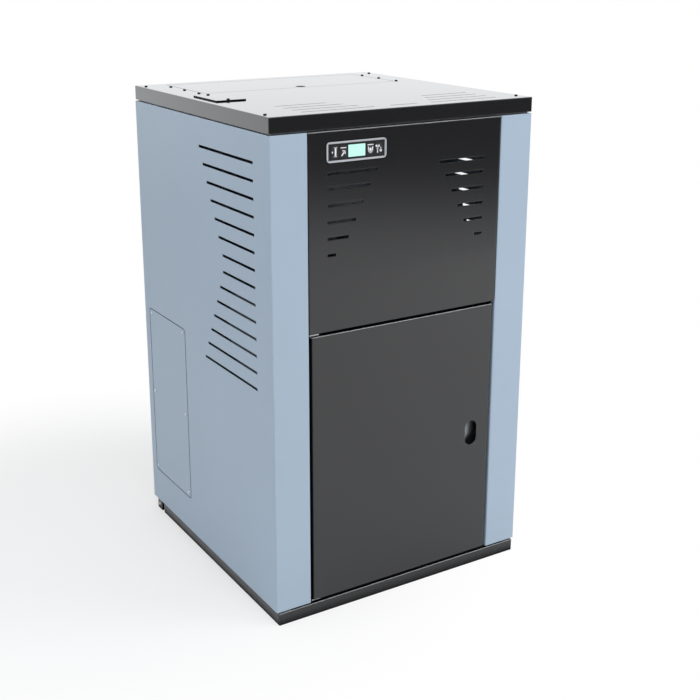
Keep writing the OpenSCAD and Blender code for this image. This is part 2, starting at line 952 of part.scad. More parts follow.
// Prism that rounds the two top edges running along Y, turned by the given angles
module rounded_top(w, d, turn) {
  rotate(turn) translate([0, d / 2 + over, 0]) rotate([90, 0, 0]) linear_extrude(d + 2 * over) {
    translate([-w / 2, 0]) square([w, body_h - fold_r]);
    translate([-w / 2 + fold_r, 0]) square([w - 2 * fold_r, body_h]);
    for (sx = [-1, 1]) translate([sx * (w / 2 - fold_r), body_h - fold_r]) circle(r = fold_r);
  }
}

module service_screw_holes(z0, z1) {
  for (y = [service_y0 + service_lap, service_y1 - service_lap])
    rod_z(screw_r + run_gap, service_screw_x, y, z0, z1);
}

module cover_screws() {
  color(DARK) {
    for (sx = [-1, 1]) {
      for (y = [front_y + corner_screw_front, back_y - corner_screw_back])
        translate([sx * (half_w - corner_screw_in), y, body_h]) screw();
      for (y = lid_screw_y) translate([sx * lid_screw_x, y, body_h]) screw();
    }
    for (y = [service_y0 + service_lap, service_y1 - service_lap])
      translate([service_screw_x, y, body_h + service_t]) screw();
  }
}

module service_plate() {
  color(BLACK)
    difference() {
      translate([pull_x, pull_y, body_h])
        linear_extrude(service_t) round_rect(service_x1 - service_x0, service_y1 - service_y0,
          fold_r);
      service_screw_holes(body_h - over, body_h + service_t + over);
    }
}

module console_bezel() {
  color(DARK)
    difference() {
      union() {
        upright_plate(console_w, console_h, console_r, console_x, front_y - console_proud,
          front_y, console_z);
        upright_plate(console_w - 2 * console_rim, console_h - 2 * console_rim,
          console_r - console_rim, console_x, front_y - EPS, front_y + console_body, console_z);
      }
      upright_plate(console_w - 2 * console_rim, console_h - 2 * console_rim, console_r - console_rim,
        console_x, front_y - console_proud - over, front_y - console_proud + console_dish,
          console_z);
      upright_plate(display_w + 2 * run_gap, display_h + 2 * run_gap, display_round, console_x,
        front_y - console_proud, front_y + console_dish, console_z);
      upright_plate(display_w - 2 * display_lip, display_h - 2 * display_lip, display_round,
        console_x, front_y, front_y + console_body + over, console_z);
      for (m = button_mid)
        upright_plate(button_w + 2 * skin_gap, button_h + 2 * skin_gap, button_round + skin_gap,
          console_x + m, front_y - console_proud, front_y + console_body + over, console_z);
    }
}

module display_window() {
  color("#cdf5ec")
    upright_plate(display_w, display_h, display_round, console_x,
      front_y - console_proud + display_sunk, front_y + console_dish, console_z);
}

module console_board() {
  color("#2f6b4a") {
    box(console_x - console_w / 2 + console_rim, console_x + console_w / 2 - console_rim,
      front_y + console_body, front_y + console_body + board_t,
      console_z - console_h / 2 + console_rim, console_z + console_h / 2 - console_rim);
    for (m = button_mid)
      box(console_x + m - tact_half, console_x + m + tact_half,
        front_y + console_body - stem_end + button_travel + tact_gap,
        front_y + console_body + EPS, console_z - tact_half, console_z + tact_half);
    box(console_x - plug_x, console_x + plug_x, front_y + console_body + board_t - EPS,
      front_y + console_body + plug_d, console_z - plug_z, console_z + plug_z);
  }
}

// A button's cap sits in the console's window and its stem stops short of its switch
module button(i) {
  color(DARK) {
    upright_plate(button_w, button_h, button_round, console_x + button_mid[i],
      front_y - console_proud + button_sunk, front_y + cap_back, console_z);
    rod_y(stem_r, console_x + button_mid[i], front_y + cap_back - EPS,
      front_y + console_body - stem_end, console_z);
  }
}

module button_1() {
  button(0);
}

module button_2() {
  button(1);
}

module button_3() {
  button(2);
}

module button_4() {
  button(3);
}

module hopper_collar() {
  color(STEEL)
    difference() {
      union() {
        box(-collar_x - hopper_t, collar_x + hopper_t, collar_front - hopper_t,
          collar_rear + hopper_t, cover_under - collar_h, cover_under);
        on_both_sides()
          box(-collar_x - collar_flange, -collar_x, collar_front, collar_rear,
            cover_under - hopper_t, cover_under);
      }
      difference() {
        box(-collar_x, collar_x, collar_front, collar_rear, cover_under - collar_h - over,
          cover_under + over);
        difference() {
          box(-collar_x - over, collar_x + over, collar_front - over, lid_axis_y - ledge_rear,
            ledge_z - hopper_t, ledge_z);
          box(-collar_x + ledge_w, collar_x - ledge_w, collar_front + ledge_w, lid_axis_y,
            ledge_z - 2 * hopper_t, ledge_z + over);
        }
      }
      lid_screw_holes(cover_under - 2 * hopper_t, cover_under + over);
      rod_x(lid_pin_r + run_gap, -collar_x - hopper_t - over, collar_x + hopper_t + over,
        lid_axis_y, lid_axis_z);
    }
}

function funnel_corner(sx, sy, top, inset) = [
  sx * ((top ? hopper_x : funnel_x) - inset),
  (sy > 0 ? (top ? hopper_rear : funnel_y1) : (top ? hopper_front : funnel_y0)) - sy * inset,
  top ? funnel_z1 : funnel_z0];

// Front, rear (along_x) or side panel of the funnel, with mitred ends and half a seam at each
module funnel_panel(along_x, s) {
  hull() polyhedron([for (e = [-1, 1], top = [false, true], inset = [0, hopper_t])
    along_x ? funnel_corner(e, s, top, inset) - [e * skin_gap / 2, 0, 0]
    : funnel_corner(s, e, top, inset) - [0, e * skin_gap / 2, 0]], [[0, 1, 3, 2], [4, 6, 7, 5]]);
}

module hopper() {
  color(STEEL)
    difference() {
      box(-hopper_x, hopper_x, hopper_front, hopper_rear, funnel_z1, ledge_z - hopper_t);
      box(-hopper_x + hopper_t, hopper_x - hopper_t, hopper_front + hopper_t,
        hopper_rear - hopper_t, funnel_z1 - over, ledge_z - hopper_t + over);
    }
}

module hopper_funnel() {
  color(STEEL) {
    for (along_x = [false, true], s = [-1, 1]) funnel_panel(along_x, s);
    difference() {
      box(-funnel_x - funnel_flange_x, funnel_x + funnel_flange_x, funnel_y0 - funnel_flange_y,
        funnel_y1 + funnel_flange_y, funnel_z0 - funnel_flange_t, funnel_z0 - skin_gap);
      box(-funnel_x + hopper_t, funnel_x - hopper_t, funnel_y0 + hopper_t, funnel_y1 - hopper_t,
        funnel_z0 - funnel_flange_t - over, funnel_z0 + over);
    }
  }
}

module hopper_lid() {
  color(BLACK) {
    difference() {
      union() {
        box(-lid_x, lid_x, lid_front_y, lid_rear_y, body_h - lid_t, body_h);
        difference() {
          box(-lid_x + lid_rim_in, lid_x - lid_rim_in, lid_front_y + lid_rim_in,
            lid_rear_y - lid_rim_in, cover_under - lid_rim_h, cover_under + EPS);
          box(-lid_x + lid_rim_in + lid_rim_t, lid_x - lid_rim_in - lid_rim_t,
            lid_front_y + lid_rim_in + lid_rim_t, lid_rear_y - lid_rim_in - lid_rim_t,
            cover_under - lid_rim_h - over, cover_under);
        }
        rod_z(lid_hole_r + lid_boss_t, 0, lid_front_y + lid_hole_in, cover_under - lid_boss_h,
          cover_under + EPS);
      }
      rod_z(lid_hole_r, 0, lid_front_y + lid_hole_in, cover_under - lid_rim_h, body_h + over);
    }
    on_both_sides()
      rod_x(lid_pin_r, -collar_x - hopper_t - 1, -lid_x + lid_rim_in + EPS, lid_axis_y, lid_axis_z);
  }
}

module lid_gasket() {
  color(RUBBER)
    difference() {
      box(-collar_x + skin_gap, collar_x - skin_gap, collar_front + skin_gap, lid_axis_y - ledge_rear,
        ledge_z, ledge_z + gasket_t - skin_gap);
      box(-collar_x + ledge_w, collar_x - ledge_w, collar_front + ledge_w, lid_axis_y,
        ledge_z - over, ledge_z + gasket_t + over);
    }
}

module auger_tube() {
  outlet = chute_r - 2 * chute_wall;
  color(STEEL) {
    difference() {
      union() {
        rod_y(auger_out, 0, auger_y0, auger_y1, auger_z);
        box(-funnel_x - funnel_flange_x, funnel_x + funnel_flange_x, funnel_y0 - funnel_flange_y,
          auger_y1, auger_z + auger_out - auger_saddle, funnel_z0 - funnel_flange_t);
        box(-auger_out - auger_foot, auger_out + auger_foot, auger_y1 - auger_end, auger_y1,
          auger_z - auger_out - auger_end, auger_z + auger_out);
      }
      rod_y(auger_r, 0, auger_y0 + auger_end, auger_y1 - auger_end, auger_z);
      rod_y(auger_shaft_r + run_gap, 0, auger_y1 - auger_end - over, auger_y1 + over, auger_z);
      rod_y(auger_bearing + run_gap, 0, auger_y0 - over, auger_y0 + auger_end + over, auger_z);
      box(-funnel_x + hopper_t, funnel_x - hopper_t, funnel_y0 + hopper_t, funnel_y1 - hopper_t,
        auger_z, funnel_z0 + over);
      box(-outlet, outlet, chute_y - outlet, chute_y + outlet, chute_top, auger_z);
      for (sy = [-1, 1]) translate([0, chute_y + sy * outlet, auger_z])
        cube([3 * auger_out, skin_gap, 3 * auger_out], center = true);
    }
    difference() {
      four_bars(outlet, chute_pad + 2 * chute_wall, chute_y, chute_top,
        auger_z - auger_out + auger_saddle);
      rod_y(auger_out + skin_gap, 0, auger_y0 - over, auger_y1, auger_z);
    }
  }
}

module auger_screw() {
  color(STEEL) {
    rod_y(auger_shaft_r, 0, auger_y0 + auger_foot, auger_y1 + 3 * auger_end, auger_z);
    rod_y(auger_bearing, 0, auger_y0 + 0.5, auger_y0 + auger_foot + EPS, auger_z);
    flight_l = auger_y1 - auger_y0 - auger_end - flight_gap - 5;
    translate([0, auger_y0 + flight_gap, auger_z]) rotate([-90, 0, 0])
      linear_extrude(height = flight_l, twist = 360 * flight_l / auger_pitch,
        slices = round(flight_slices * flight_l / auger_pitch), $fn = 4)
        translate([0, -flight_t / 2]) square([auger_r - auger_clear, flight_t]);
  }
}

module auger_motor() {
  color(DARK)
    difference() {
      union() {
        box(-gear_x, gear_x, auger_y1, auger_y1 + gear_d, auger_z - gear_x,
          auger_z + auger_out - 3);
        rod_y(auger_motor_r, 0, auger_y1 + gear_d - EPS, auger_y1 + gear_d + auger_motor_l,
          auger_z - auger_saddle);
      }
      rod_y(auger_shaft_r + run_gap, 0, auger_y1 - over, auger_y1 + 3 * auger_end + over, auger_z);
    }
}

module feed_chute() {
  color(STEEL) {
    four_bars(chute_r - chute_wall, chute_flange, chute_y, boiler_z1, boiler_z1 + chute_flange_t);
    four_bars(chute_r - chute_wall, chute_wall, chute_y, boiler_z1 + chute_flange_t + skin_gap,
      chute_top);
  }
}

// Runs its children once for each smoke tube
module at_smoke_tubes() {
  for (i = [0 : smoke_cols - 1], j = [0 : smoke_rows - 1])
    translate([(i - (smoke_cols - 1) / 2) * smoke_pitch_x,
      smoke_mid_y + (j - (smoke_rows - 1) / 2) * smoke_pitch_y, 0])
      children();
}

// Front gas ways grown by g, open by b: firebox, throat, ash pit, chute, air sleeve
module fire_ways(g, b) {
  box(-fire_x - g, fire_x + g, fire_y0 - g, fire_y1 + g, fire_z0 - g, fire_z1 + g);
  box(-pit_x - g, pit_x + g, boiler_y0 - b, fire_y1 - boiler_wall + 2 * g, pit_z0 - min(g, 1),
    pit_z1 + g);
  box(-fire_door_x - g, fire_door_x + g, boiler_y0 - b, fire_y0 + over, fire_door_z0 - g,
    fire_door_z1 + g);
  box(-chute_r - g, chute_r + g, chute_y - chute_r - g, chute_y + chute_r + g, fire_z1 - over,
    boiler_z1 + b);
  rod_x(air_r + 2 * air_gap + g, fire_x - over, boiler_x + b, air_y, air_z);
}

// Rear gas ways grown by g, open by b: turning chamber, smoke box, hatch, fan way
module smoke_ways(g, b) {
  box(-fire_x - g, fire_x + g, fire_y1 - over, smoke_y1 + g, turn_z0 - g, fire_z1 + g);
  box(-fire_x - g, fire_x + g, smoke_y0 - g, smoke_y1 + g, pit_z0 - min(g, 1), smoke_z1 + g);
  box(-hatch_x - g, hatch_x + g, hatch_y0 - g, hatch_y1 + g, fire_z1 - over, boiler_z1 + b);
  rod_y(outlet_r + g, 0, smoke_y1 - over, boiler_y1 + b, fan_z);
}

// Water jacket with its feet, bosses and hinge knuckles
module boiler_body() {
  color(CAST)
    difference() {
      union() {
        six_plates(boiler_x, boiler_y0, boiler_y1, boiler_z0, boiler_z1, boiler_wall);
        on_both_sides()
          box(-boiler_x + foot_x, -boiler_x + foot_x + foot_w, boiler_y0 + foot_in,
            boiler_y1 - foot_in, plate_top, boiler_z0 - skin_gap);
        rod_x(boss_r, -boiler_x - boss_l, -boiler_x - skin_gap, flow_y, flow_z);
        rod_x(boss_r, -boiler_x - boss_l, -boiler_x - skin_gap, return_y, return_z);
        for (z = fdoor_hinge_z) {
          rod_z(knuckle_r, fdoor_axis_x, fdoor_axis_y, z - knuckle_foot, z - skin_gap);
          box(fdoor_axis_x - knuckle_r, fdoor_axis_x + knuckle_r, fdoor_axis_y,
            boiler_y0 - skin_gap, z - knuckle_foot, z - skin_gap);
          rod_z(fdoor_pin_r, fdoor_axis_x, fdoor_axis_y, z - over, z + knuckle_h - 2 * over);
        }
      }
      fire_ways(boiler_wall, over);
      smoke_ways(boiler_wall, over);
      rod_x(water_in_r, -boiler_x - boss_l - over, -boiler_x + boiler_wall + over, flow_y, flow_z);
      rod_x(water_in_r, -boiler_x - boss_l - over, -boiler_x + boiler_wall + over, return_y,
        return_z);
      rod_x(drain_r, boiler_x - boiler_wall - over, boiler_x + over, drain_y, drain_z);
    }
}

module firebox_walls() {
  t = boiler_wall;
  s = t + skin_gap;
  color(CAST) {
    difference() {
      union() {
        six_plates(fire_x + t, fire_y0 - t, fire_y1 + t, fire_z0 - t, fire_z1 + t, t);
        for (sx = [-1, 1]) {
          translate([sx * (pit_x + t / 2), 0, 0])
            box(-t / 2, t / 2, boiler_y0, fire_y1 - skin_gap, pit_z0 - 1, pit_z1 - skin_gap);
          translate([sx * (fire_door_x + t / 2), 0, 0])
            box(-t / 2, t / 2, boiler_y0, fire_y0 - s, fire_door_z0 + skin_gap,
              fire_door_z1 - skin_gap);
        }
        box(-pit_x - t, pit_x + t, fire_y1, fire_y1 + t, pit_z0 - 1, pit_z1 - skin_gap);
        box(-pit_x - t, pit_x + t, boiler_y0, fire_y0 - s, pit_z1, fire_z0);
        for (z = [fire_door_z0 - t, fire_door_z1])
          box(-fire_door_x - t, fire_door_x + t, boiler_y0, fire_y0 - s, z, z + t);
        rod_x(air_r + 2 * air_gap + t, fire_x + s, boiler_x, air_y, air_z);
      }
      fire_ways(0, over);
      smoke_ways(0, over);
      rod_z(pot_seat_r, 0, chute_y, pit_z1 - over, fire_z0 + over);
      for (z = [fire_door_z0 - skin_gap, fire_door_z1])
        box(-fire_x, fire_x, fire_y0 - t - EPS, fire_y0 + EPS, z, z + skin_gap);
    }
    four_bars(chute_r, t, chute_y, fire_z1 + s, boiler_z1);
  }
}

module smoke_walls() {
  color(CAST)
    difference() {
      smoke_ways(boiler_wall, 0);
      smoke_ways(0, over);
      fire_ways(boiler_wall, over);
      at_smoke_tubes()
        rod_z(smoke_r + tube_wall, 0, 0, smoke_z1 - over, turn_z0 + over);
    }
}

module smoke_tubes() {
  color(STEEL)
    at_smoke_tubes()
      difference() {
        rod_z(smoke_r + tube_wall, 0, 0, smoke_z1, turn_z0);
        rod_z(smoke_r, 0, 0, smoke_z1 - over, turn_z0 + over);
      }
}

module insulation_jacket() {
  color(MINERAL)
    difference() {
      box(-boiler_x - insulation_t, boiler_x + insulation_t, boiler_y0 + foot_in,
        boiler_y1 - skin_gap, boiler_z0, boiler_z1);
      box(-boiler_x, boiler_x, boiler_y0, boiler_y1 + over, boiler_z0 - over, boiler_z1 + over);
      rod_x(boss_r + skin_gap, -boiler_x - insulation_t - over, -boiler_x + over, flow_y, flow_z);
      rod_x(boss_r + skin_gap, -boiler_x - insulation_t - over, -boiler_x + over, return_y, return_z);
      rod_x(air_r + air_gap, boiler_x - over, boiler_x + insulation_t + over, air_y, air_z);
      rod_x(2 * drain_r, boiler_x - over, boiler_x + insulation_t + over, drain_y, drain_z);
    }
}

module firebox_lining() {
  color(MINERAL) {
    box(-fire_x, fire_x, fire_y1 - lining_t, fire_y1, fire_z0, lining_z1);
    difference() {
      on_both_sides()
        box(-fire_x, -fire_x + lining_t, fire_y0 + fold_r, fire_y1 - lining_t - skin_gap,
          fire_z0, lining_z1);
      rod_x(air_r + air_gap, fire_x - lining_t - over, fire_x + over, air_y, air_z);
    }
  }
}

module burner_pot() {
  color(CAST)
    difference() {
      union() {
        box(-pot_x - pot_flange, pot_x + pot_flange, chute_y - pot_y - pot_flange,
          chute_y + pot_y + pot_flange, fire_z0, fire_z0 + pot_flange_t);
        box(-pot_x, pot_x, chute_y - pot_y, chute_y + pot_y, fire_z0, fire_z0 + pot_floor);
        four_walls(pot_x, chute_y - pot_y, chute_y + pot_y, fire_z0 + pot_floor + skin_gap,
          fire_z0 + pot_h, pot_wall);
        rod_z(pot_seat_r - skin_gap, 0, chute_y, fire_z0 - pot_seat_h, fire_z0 + EPS);
      }
      for (i = [-2 : 2], j = [-1 : 1])
        rod_z(pot_hole_r, i * pot_hole_dx, chute_y + j * pot_hole_dy, fire_z0 - pot_seat_h - over,
          fire_z0 + pot_floor + over);
      for (i = [-1 : 1])
        rod_y(pot_jet_r, i * pot_jet_dx, chute_y - pot_y - over, chute_y - pot_y + pot_wall + over,
          fire_z0 + pot_jet_z);
      rod_x(air_r - air_wall, pot_x - pot_wall - over, pot_x + over, air_y, air_z);
      rod_y(igniter_r + skin_gap, 0, chute_y + pot_y - pot_wall - over, chute_y + pot_y + over,
        igniter_z);
    }
}

module igniter() {
  color(STEEL) {
    rod_y(igniter_r, 0, chute_y + pot_y - pot_wall - igniter_reach, chute_y + pot_y + EPS, igniter_z);
    rod_y(igniter_cap_r, 0, chute_y + pot_y, chute_y + pot_y + igniter_reach, igniter_z);
  }
}

module firebox_door() {
  color(CAST)
    difference() {
      union() {
        box(-fdoor_x, fdoor_x, boiler_y0 - fdoor_t, boiler_y0 - over, fdoor_z0, fdoor_z1);
        upright_plate(2 * (glass_x + glass_frame), glass_z1 - glass_z0 + 2 * glass_frame,
          glass_rebate, 0, boiler_y0 - fdoor_t - glass_frame_t,
          boiler_y0 - fdoor_t + EPS, (glass_z0 + glass_z1) / 2);
        for (z = fdoor_hinge_z) {
          rod_z(knuckle_r, fdoor_axis_x, fdoor_axis_y, z, z + knuckle_h);
          box(fdoor_axis_x, -fdoor_x + EPS, boiler_y0 - fdoor_t - glass_frame_t,
            boiler_y0 - fdoor_t + glass_frame_t, z, z + knuckle_h);
        }
      }
      for (z = fdoor_hinge_z)
        rod_z(fdoor_pin_r + run_gap, fdoor_axis_x, fdoor_axis_y, z - over, z + knuckle_h + over);
      box(-glass_x, glass_x, boiler_y0 - fdoor_t - glass_frame_t - over, boiler_y0, glass_z0,
        glass_z1);
      box(-glass_x - glass_rebate, glass_x + glass_rebate, boiler_y0 - over - glass_t, boiler_y0,
        glass_z0 - glass_rebate, glass_z1 + glass_rebate);
      rod_y(handle_r + run_gap, handle_x, boiler_y0 - fdoor_t - glass_frame_t - over,
        boiler_y0 - glass_t, handle_z);
    }
}

module firebox_glass() {
  color("#3a2a1c")
    box(-glass_x - glass_rebate + over, glass_x + glass_rebate - over, boiler_y0 - over - glass_t,
      boiler_y0 - over, glass_z0 - glass_rebate + over, glass_z1 + glass_rebate - over);
}

module firebox_handle() {
  color(STEEL) {
    y = boiler_y0 - fdoor_t;
    rod_y(handle_r, handle_x, y - handle_out / 2, boiler_y0 - glass_t - over, handle_z);
    rod_y(handle_disc, handle_x, y - handle_out, y - skin_gap, handle_z);
    box(handle_x - handle_r, handle_x + handle_r, y - handle_out, y - handle_out / 2,
      handle_z - grip_l, handle_z);
    rod_z(grip_r, handle_x, y - handle_out, handle_z - grip_drop - grip_l, handle_z - grip_drop);
  }
}

module ash_drawer() {
  color(STEEL) {
    x = pit_x - drawer_gap;
    z0 = pit_z0 + skin_gap;
    y1 = fire_y1 - drawer_back;
    difference() {
      box(-x, x, boiler_y0 - skin_gap, y1, z0, z0 + drawer_h);
      box(-x + hopper_t, x - hopper_t, boiler_y0 + hopper_t, y1 - hopper_t, z0 + hopper_t,
        z0 + drawer_h + over);
    }
    box(-pit_x - drawer_lap, pit_x + drawer_lap, boiler_y0 - skin_gap - drawer_face,
      boiler_y0 - skin_gap, pit_z0 - drawer_face, pit_z1 + 2 * drawer_face);
    for (sx = [-1, 1])
      rod_y(pull_post_r, sx * pull_post_x, boiler_y0 - drawer_face - pull_reach,
        boiler_y0 - drawer_face, z0 + drawer_h / 2);
    rod_x(pull_bar_r, -pull_half, pull_half, boiler_y0 - drawer_face - pull_reach, z0 + drawer_h / 2);
  }
}

module exchanger_cover() {
  color(CAST)
    difference() {
      union() {
        box(-hatch_x - hatch_lap, hatch_x + hatch_lap, hatch_y0 - hatch_lap, hatch_y1 + hatch_lap,
          boiler_z1, boiler_z1 + hatch_t);
        box(-hatch_x + 2 * over, hatch_x - 2 * over, hatch_y0 + 2 * over, hatch_y1 - 2 * over,
          boiler_z1 - hatch_plug, boiler_z1 + EPS);
        rod_z(rod_seal_r, rod_hole_x, smoke_mid_y, boiler_z1, boiler_z1 + rod_seal_h);
        for (sx = [-1, 1], sy = [-1, 1])
          rod_z(hatch_screw_r, sx * (hatch_x + hatch_screw_in), smoke_mid_y + sy * hatch_screw_y,
            boiler_z1 + hatch_t - EPS, boiler_z1 + 2 * hatch_t);
      }
      rod_z(scraper_r + run_gap, rod_hole_x, smoke_mid_y, boiler_z1 - hatch_plug - over,
        boiler_z1 + rod_seal_h + over);
    }
}

module scraper_frame() {
  color(STEEL) {
    x = smoke_pitch_x * (smoke_cols - 1) / 2 + comb_edge;
    y = smoke_pitch_y * (smoke_rows - 1) / 2 + comb_edge;
    difference() {
      box(-x, x, smoke_mid_y - y, smoke_mid_y + y, comb_z, comb_z + comb_t);
      for (i = [-1 : 1], j = [-0.5, 0.5])
        rod_z(comb_hole_r, i * smoke_pitch_x, smoke_mid_y + j * smoke_pitch_y, comb_z - over,
          comb_z + comb_t + over);
    }
    rod_z(scraper_r, rod_hole_x, smoke_mid_y, comb_z + comb_t - EPS, bridge_z + bridge_t + 2);
    box(pull_x - bridge_half, rod_hole_x + bridge_half, smoke_mid_y - bridge_half,
      smoke_mid_y + bridge_half, bridge_z, bridge_z + bridge_t);
    box(pull_x - bridge_half, pull_x + bridge_half, min(pull_y, smoke_mid_y) - bridge_half,
      max(pull_y, smoke_mid_y) + bridge_half, bridge_z, bridge_z + bridge_t);
    rod_z(scraper_r, pull_x, pull_y, bridge_z, knob_z + EPS);
    translate([pull_x, pull_y, knob_z]) sphere(r = knob_r);
  }
}

module turbulators() {
  color(STEEL)
    at_smoke_tubes() {
      translate([0, 0, comb_z - twist_l - 2]) linear_extrude(height = twist_l, twist = twist_turn,
        slices = twist_slices, $fn = 4)
        square([twist_w, twist_t], center = true);
      translate([0, 0, comb_z - 2 * comb_t]) cylinder(r = twist_t, h = 2 * comb_t);
    }
}

// Fan scroll with its outlet duct, shrunk by g
module fan_form(g) {
  rod_y(fan_r - g, 0, fan_y0 + g, fan_y1 - g, fan_z);
  box(0, duct_x + (g > 0 ? over : 0), fan_y0 + g, fan_y1 - g, fan_z + duct_low + g,
    fan_z + fan_r - g);
}

// Flue box and its spigot, shrunk by g
module flue_form(g) {
  b = g > 0 ? over : 0;
  box(duct_x + g, flue_x + flue_box_w / 2 - g, fan_y0 + g, flue_box_y1 - g,
    flue_z - flue_box_w / 2 + g, flue_z + flue_box_w / 2 + duct_rise - g);
  rod_y(flue_r - step - g * flue_wall / fan_wall, flue_x, flue_box_y1 - fan_wall - b,
    back_y + flue_reach + b, flue_z);
}

module fan_housing() {
  color(STEEL)
    difference() {
      union() {
        fan_form(0);
        box(-fan_foot_x, fan_foot_x, fan_y0 + duct_rise, fan_y0 + duct_rise + fan_foot_t,
          plate_top, fan_z - fan_r + fan_leg_r);
      }
      fan_form(fan_wall);
      rod_y(outlet_r, 0, fan_y0 - over, fan_y0 + fan_wall + over, fan_z);
      rod_y(fan_shaft_r + 2, 0, fan_y1 - fan_wall - over, fan_y1 + over, fan_z);
    }
}

module flue_duct() {
  color(STEEL)
    difference() {
      union() {
        flue_form(0);
        rod_y(flue_r, flue_x, back_y + step, back_y + flue_reach, flue_z);
        rod_z(fan_leg_r, flue_x, (fan_y0 + flue_box_y1) / 2, plate_top,
          flue_z - flue_box_w / 2 + EPS);
      }
      flue_form(fan_wall);
      box(duct_x - over, duct_x + fan_wall + over, fan_y0 + fan_wall, fan_y1 - fan_wall,
        fan_z + duct_low + fan_wall, fan_z + fan_r - fan_wall);
    }
}

module fan_impeller() {
  color(STEEL) {
    rod_y(impeller_r, 0, impeller_y1 - blade_t, impeller_y1, fan_z);
    rod_y(hub_r, 0, impeller_y0, impeller_y1, fan_z);
    for (i = [0 : blades - 1])
      translate([0, impeller_y0, fan_z]) rotate([0, i * 360 / blades, 0])
        translate([hub_r - over, 0, -blade_t / 2])
        cube([impeller_r - hub_r, impeller_y1 - impeller_y0, blade_t]);
    rod_y(fan_shaft_r, 0, impeller_y1 - EPS, fan_y1 + fan_shaft_l, fan_z);
  }
}

module fan_motor() {
  color(DARK)
    difference() {
      union() {
        rod_y(fan_motor_r, 0, fan_y1 + fan_flange_t, fan_y1 + fan_motor_l, fan_z);
        rod_y(fan_flange_r, 0, fan_y1, fan_y1 + fan_flange_t + EPS, fan_z);
      }
      rod_y(fan_shaft_r + run_gap, 0, fan_y1 - over, fan_y1 + fan_shaft_l + 2 * over, fan_z);
    }
}

module air_intake_pipe() {
  color(STEEL)
    difference() {
      union() {
        rod_y(intake_r - step, intake_x, air_y + elbow, back_y + step + EPS, air_z);
        rod_y(intake_r, intake_x, back_y + step, back_y + intake_reach, air_z);
        rod_y(air_r, intake_x, air_y, air_y + elbow + EPS, air_z);
        rod_x(air_r, pot_x + skin_gap, intake_x, air_y, air_z);
        translate([intake_x, air_y, air_z]) sphere(r = air_r);
      }
      rod_y(intake_r - step - air_wall, intake_x, air_y + elbow + air_wall,
        back_y + intake_reach + over, air_z);
      rod_y(air_r - air_wall, intake_x, air_y, air_y + elbow + 2 * air_wall, air_z);
      rod_x(air_r - air_wall, pot_x, intake_x, air_y, air_z);
      translate([intake_x, air_y, air_z]) sphere(r = air_r - air_wall);
    }
}

module expansion_vessel() {
  color("#474f4e") {
    bracket_x = vessel_x + vessel_w + vessel_neck_l;
    translate([vessel_x, vessel_y, vessel_z]) rotate([0, 90, 0]) rotate_extrude() intersection() {
      translate([0, vessel_w / 2]) round_rect(2 * vessel_r, vessel_w, vessel_round);
      square([vessel_r, vessel_w]);
    }
    rod_x(vessel_neck_r, vessel_x + vessel_w - EPS, bracket_x, vessel_y, vessel_z);
    box(bracket_x - EPS, bracket_x + bracket_t, vessel_y - bracket_half, vessel_y + bracket_half,
      boiler_z1, vessel_z + bracket_rise);
    box(bracket_x, -boiler_x + bracket_reach, vessel_y - bracket_half, vessel_y + bracket_half,
      boiler_z1, boiler_z1 + bracket_t);
  }
}

// Pipe along the listed points, with a ball at each bend
module pipe(points, r) {
  for (i = [0 : len(points) - 2]) {
    a = points[i];
    v = points[i + 1] - a;
    l = norm(v);
    translate(a) rotate([0, acos(v[2] / l), atan2(v[1], v[0])]) cylinder(r = r, h = l);
  }
  if (len(points) > 2)
    for (i = [1 : len(points) - 2]) translate(points[i]) sphere(r = r);
}

module flow_pipe() {
  color(COPPER)
    difference() {
      union() {
        pipe([[-boiler_x - boss_l, flow_y, flow_z], [-water_x, flow_y, flow_z],
          [-water_x, back_y + step + EPS, flow_z]], water_r - step);
        rod_y(water_r, -water_x, back_y + step, back_y + water_reach, flow_z);
        rod_z(valve_r + 1, -water_x, valve_y, flow_z, valve_z);
      }
      pipe([[-boiler_x - boss_l + over, flow_y, flow_z], [-water_x, flow_y, flow_z],
        [-water_x, back_y + water_reach + over, flow_z]], water_in_r);
    }
}

module circulation_pump() {
  color("#2f5f3a") {
    x = -water_x + pump_shift;
    rod_x(pump_r, x - pump_w, x, pump_y, return_z);
    rod_x(pump_motor_r, x - pump_w - pump_motor_w, x - pump_w + EPS, pump_y, return_z);
    rod_y(pump_neck_r, -water_x, pump_y - pump_half, pump_y + pump_half, return_z);
  }
}

module return_pipe() {
  color(COPPER)
    difference() {
      union() {
        pipe([[-boiler_x - boss_l, return_y, return_z], [-water_x, return_y, return_z],
          [-water_x, pump_y - pump_half, return_z]], water_r - step);
        rod_y(water_r - step, -water_x, pump_y + pump_half, back_y + step + EPS, return_z);
        rod_y(water_r, -water_x, back_y + step, back_y + water_reach, return_z);
      }
      rod_y(water_in_r, -water_x, pump_y + pump_half - over, back_y + water_reach + over, return_z);
    }
}

module water_pipes() {
  flow_pipe();
  return_pipe();
}

module safety_valve() {
  color(BRASS) {
    rod_z(valve_r, -water_x, valve_y, valve_z, valve_z + valve_h);
    rod_x(valve_side_r, -water_x - valve_h, -water_x, valve_y, valve_z + valve_side_z);
    rod_z(valve_cap_r, -water_x, valve_y, valve_z + valve_h - EPS, valve_z + valve_h + valve_cap_h);
  }
}

module drain_cock() {
  color(BRASS)
    difference() {
      union() {
        rod_x(cock_r, boiler_x, cock_x + cock_end, drain_y, drain_z);
        rod_y(cock_out_r, cock_x, drain_y - cock_out_l, drain_y, drain_z);
        rod_z(cock_neck_r, cock_x, drain_y, drain_z, drain_z + cock_neck_h);
      }
      rod_x(drain_r, boiler_x - over, cock_x, drain_y, drain_z);
      rod_y(drain_r - over, cock_x, drain_y - cock_out_l - over, drain_y, drain_z);
      rod_z(spindle_r + run_gap, cock_x, drain_y, drain_z + cock_neck_h / 2,
        drain_z + cock_neck_h + over);
    }
}

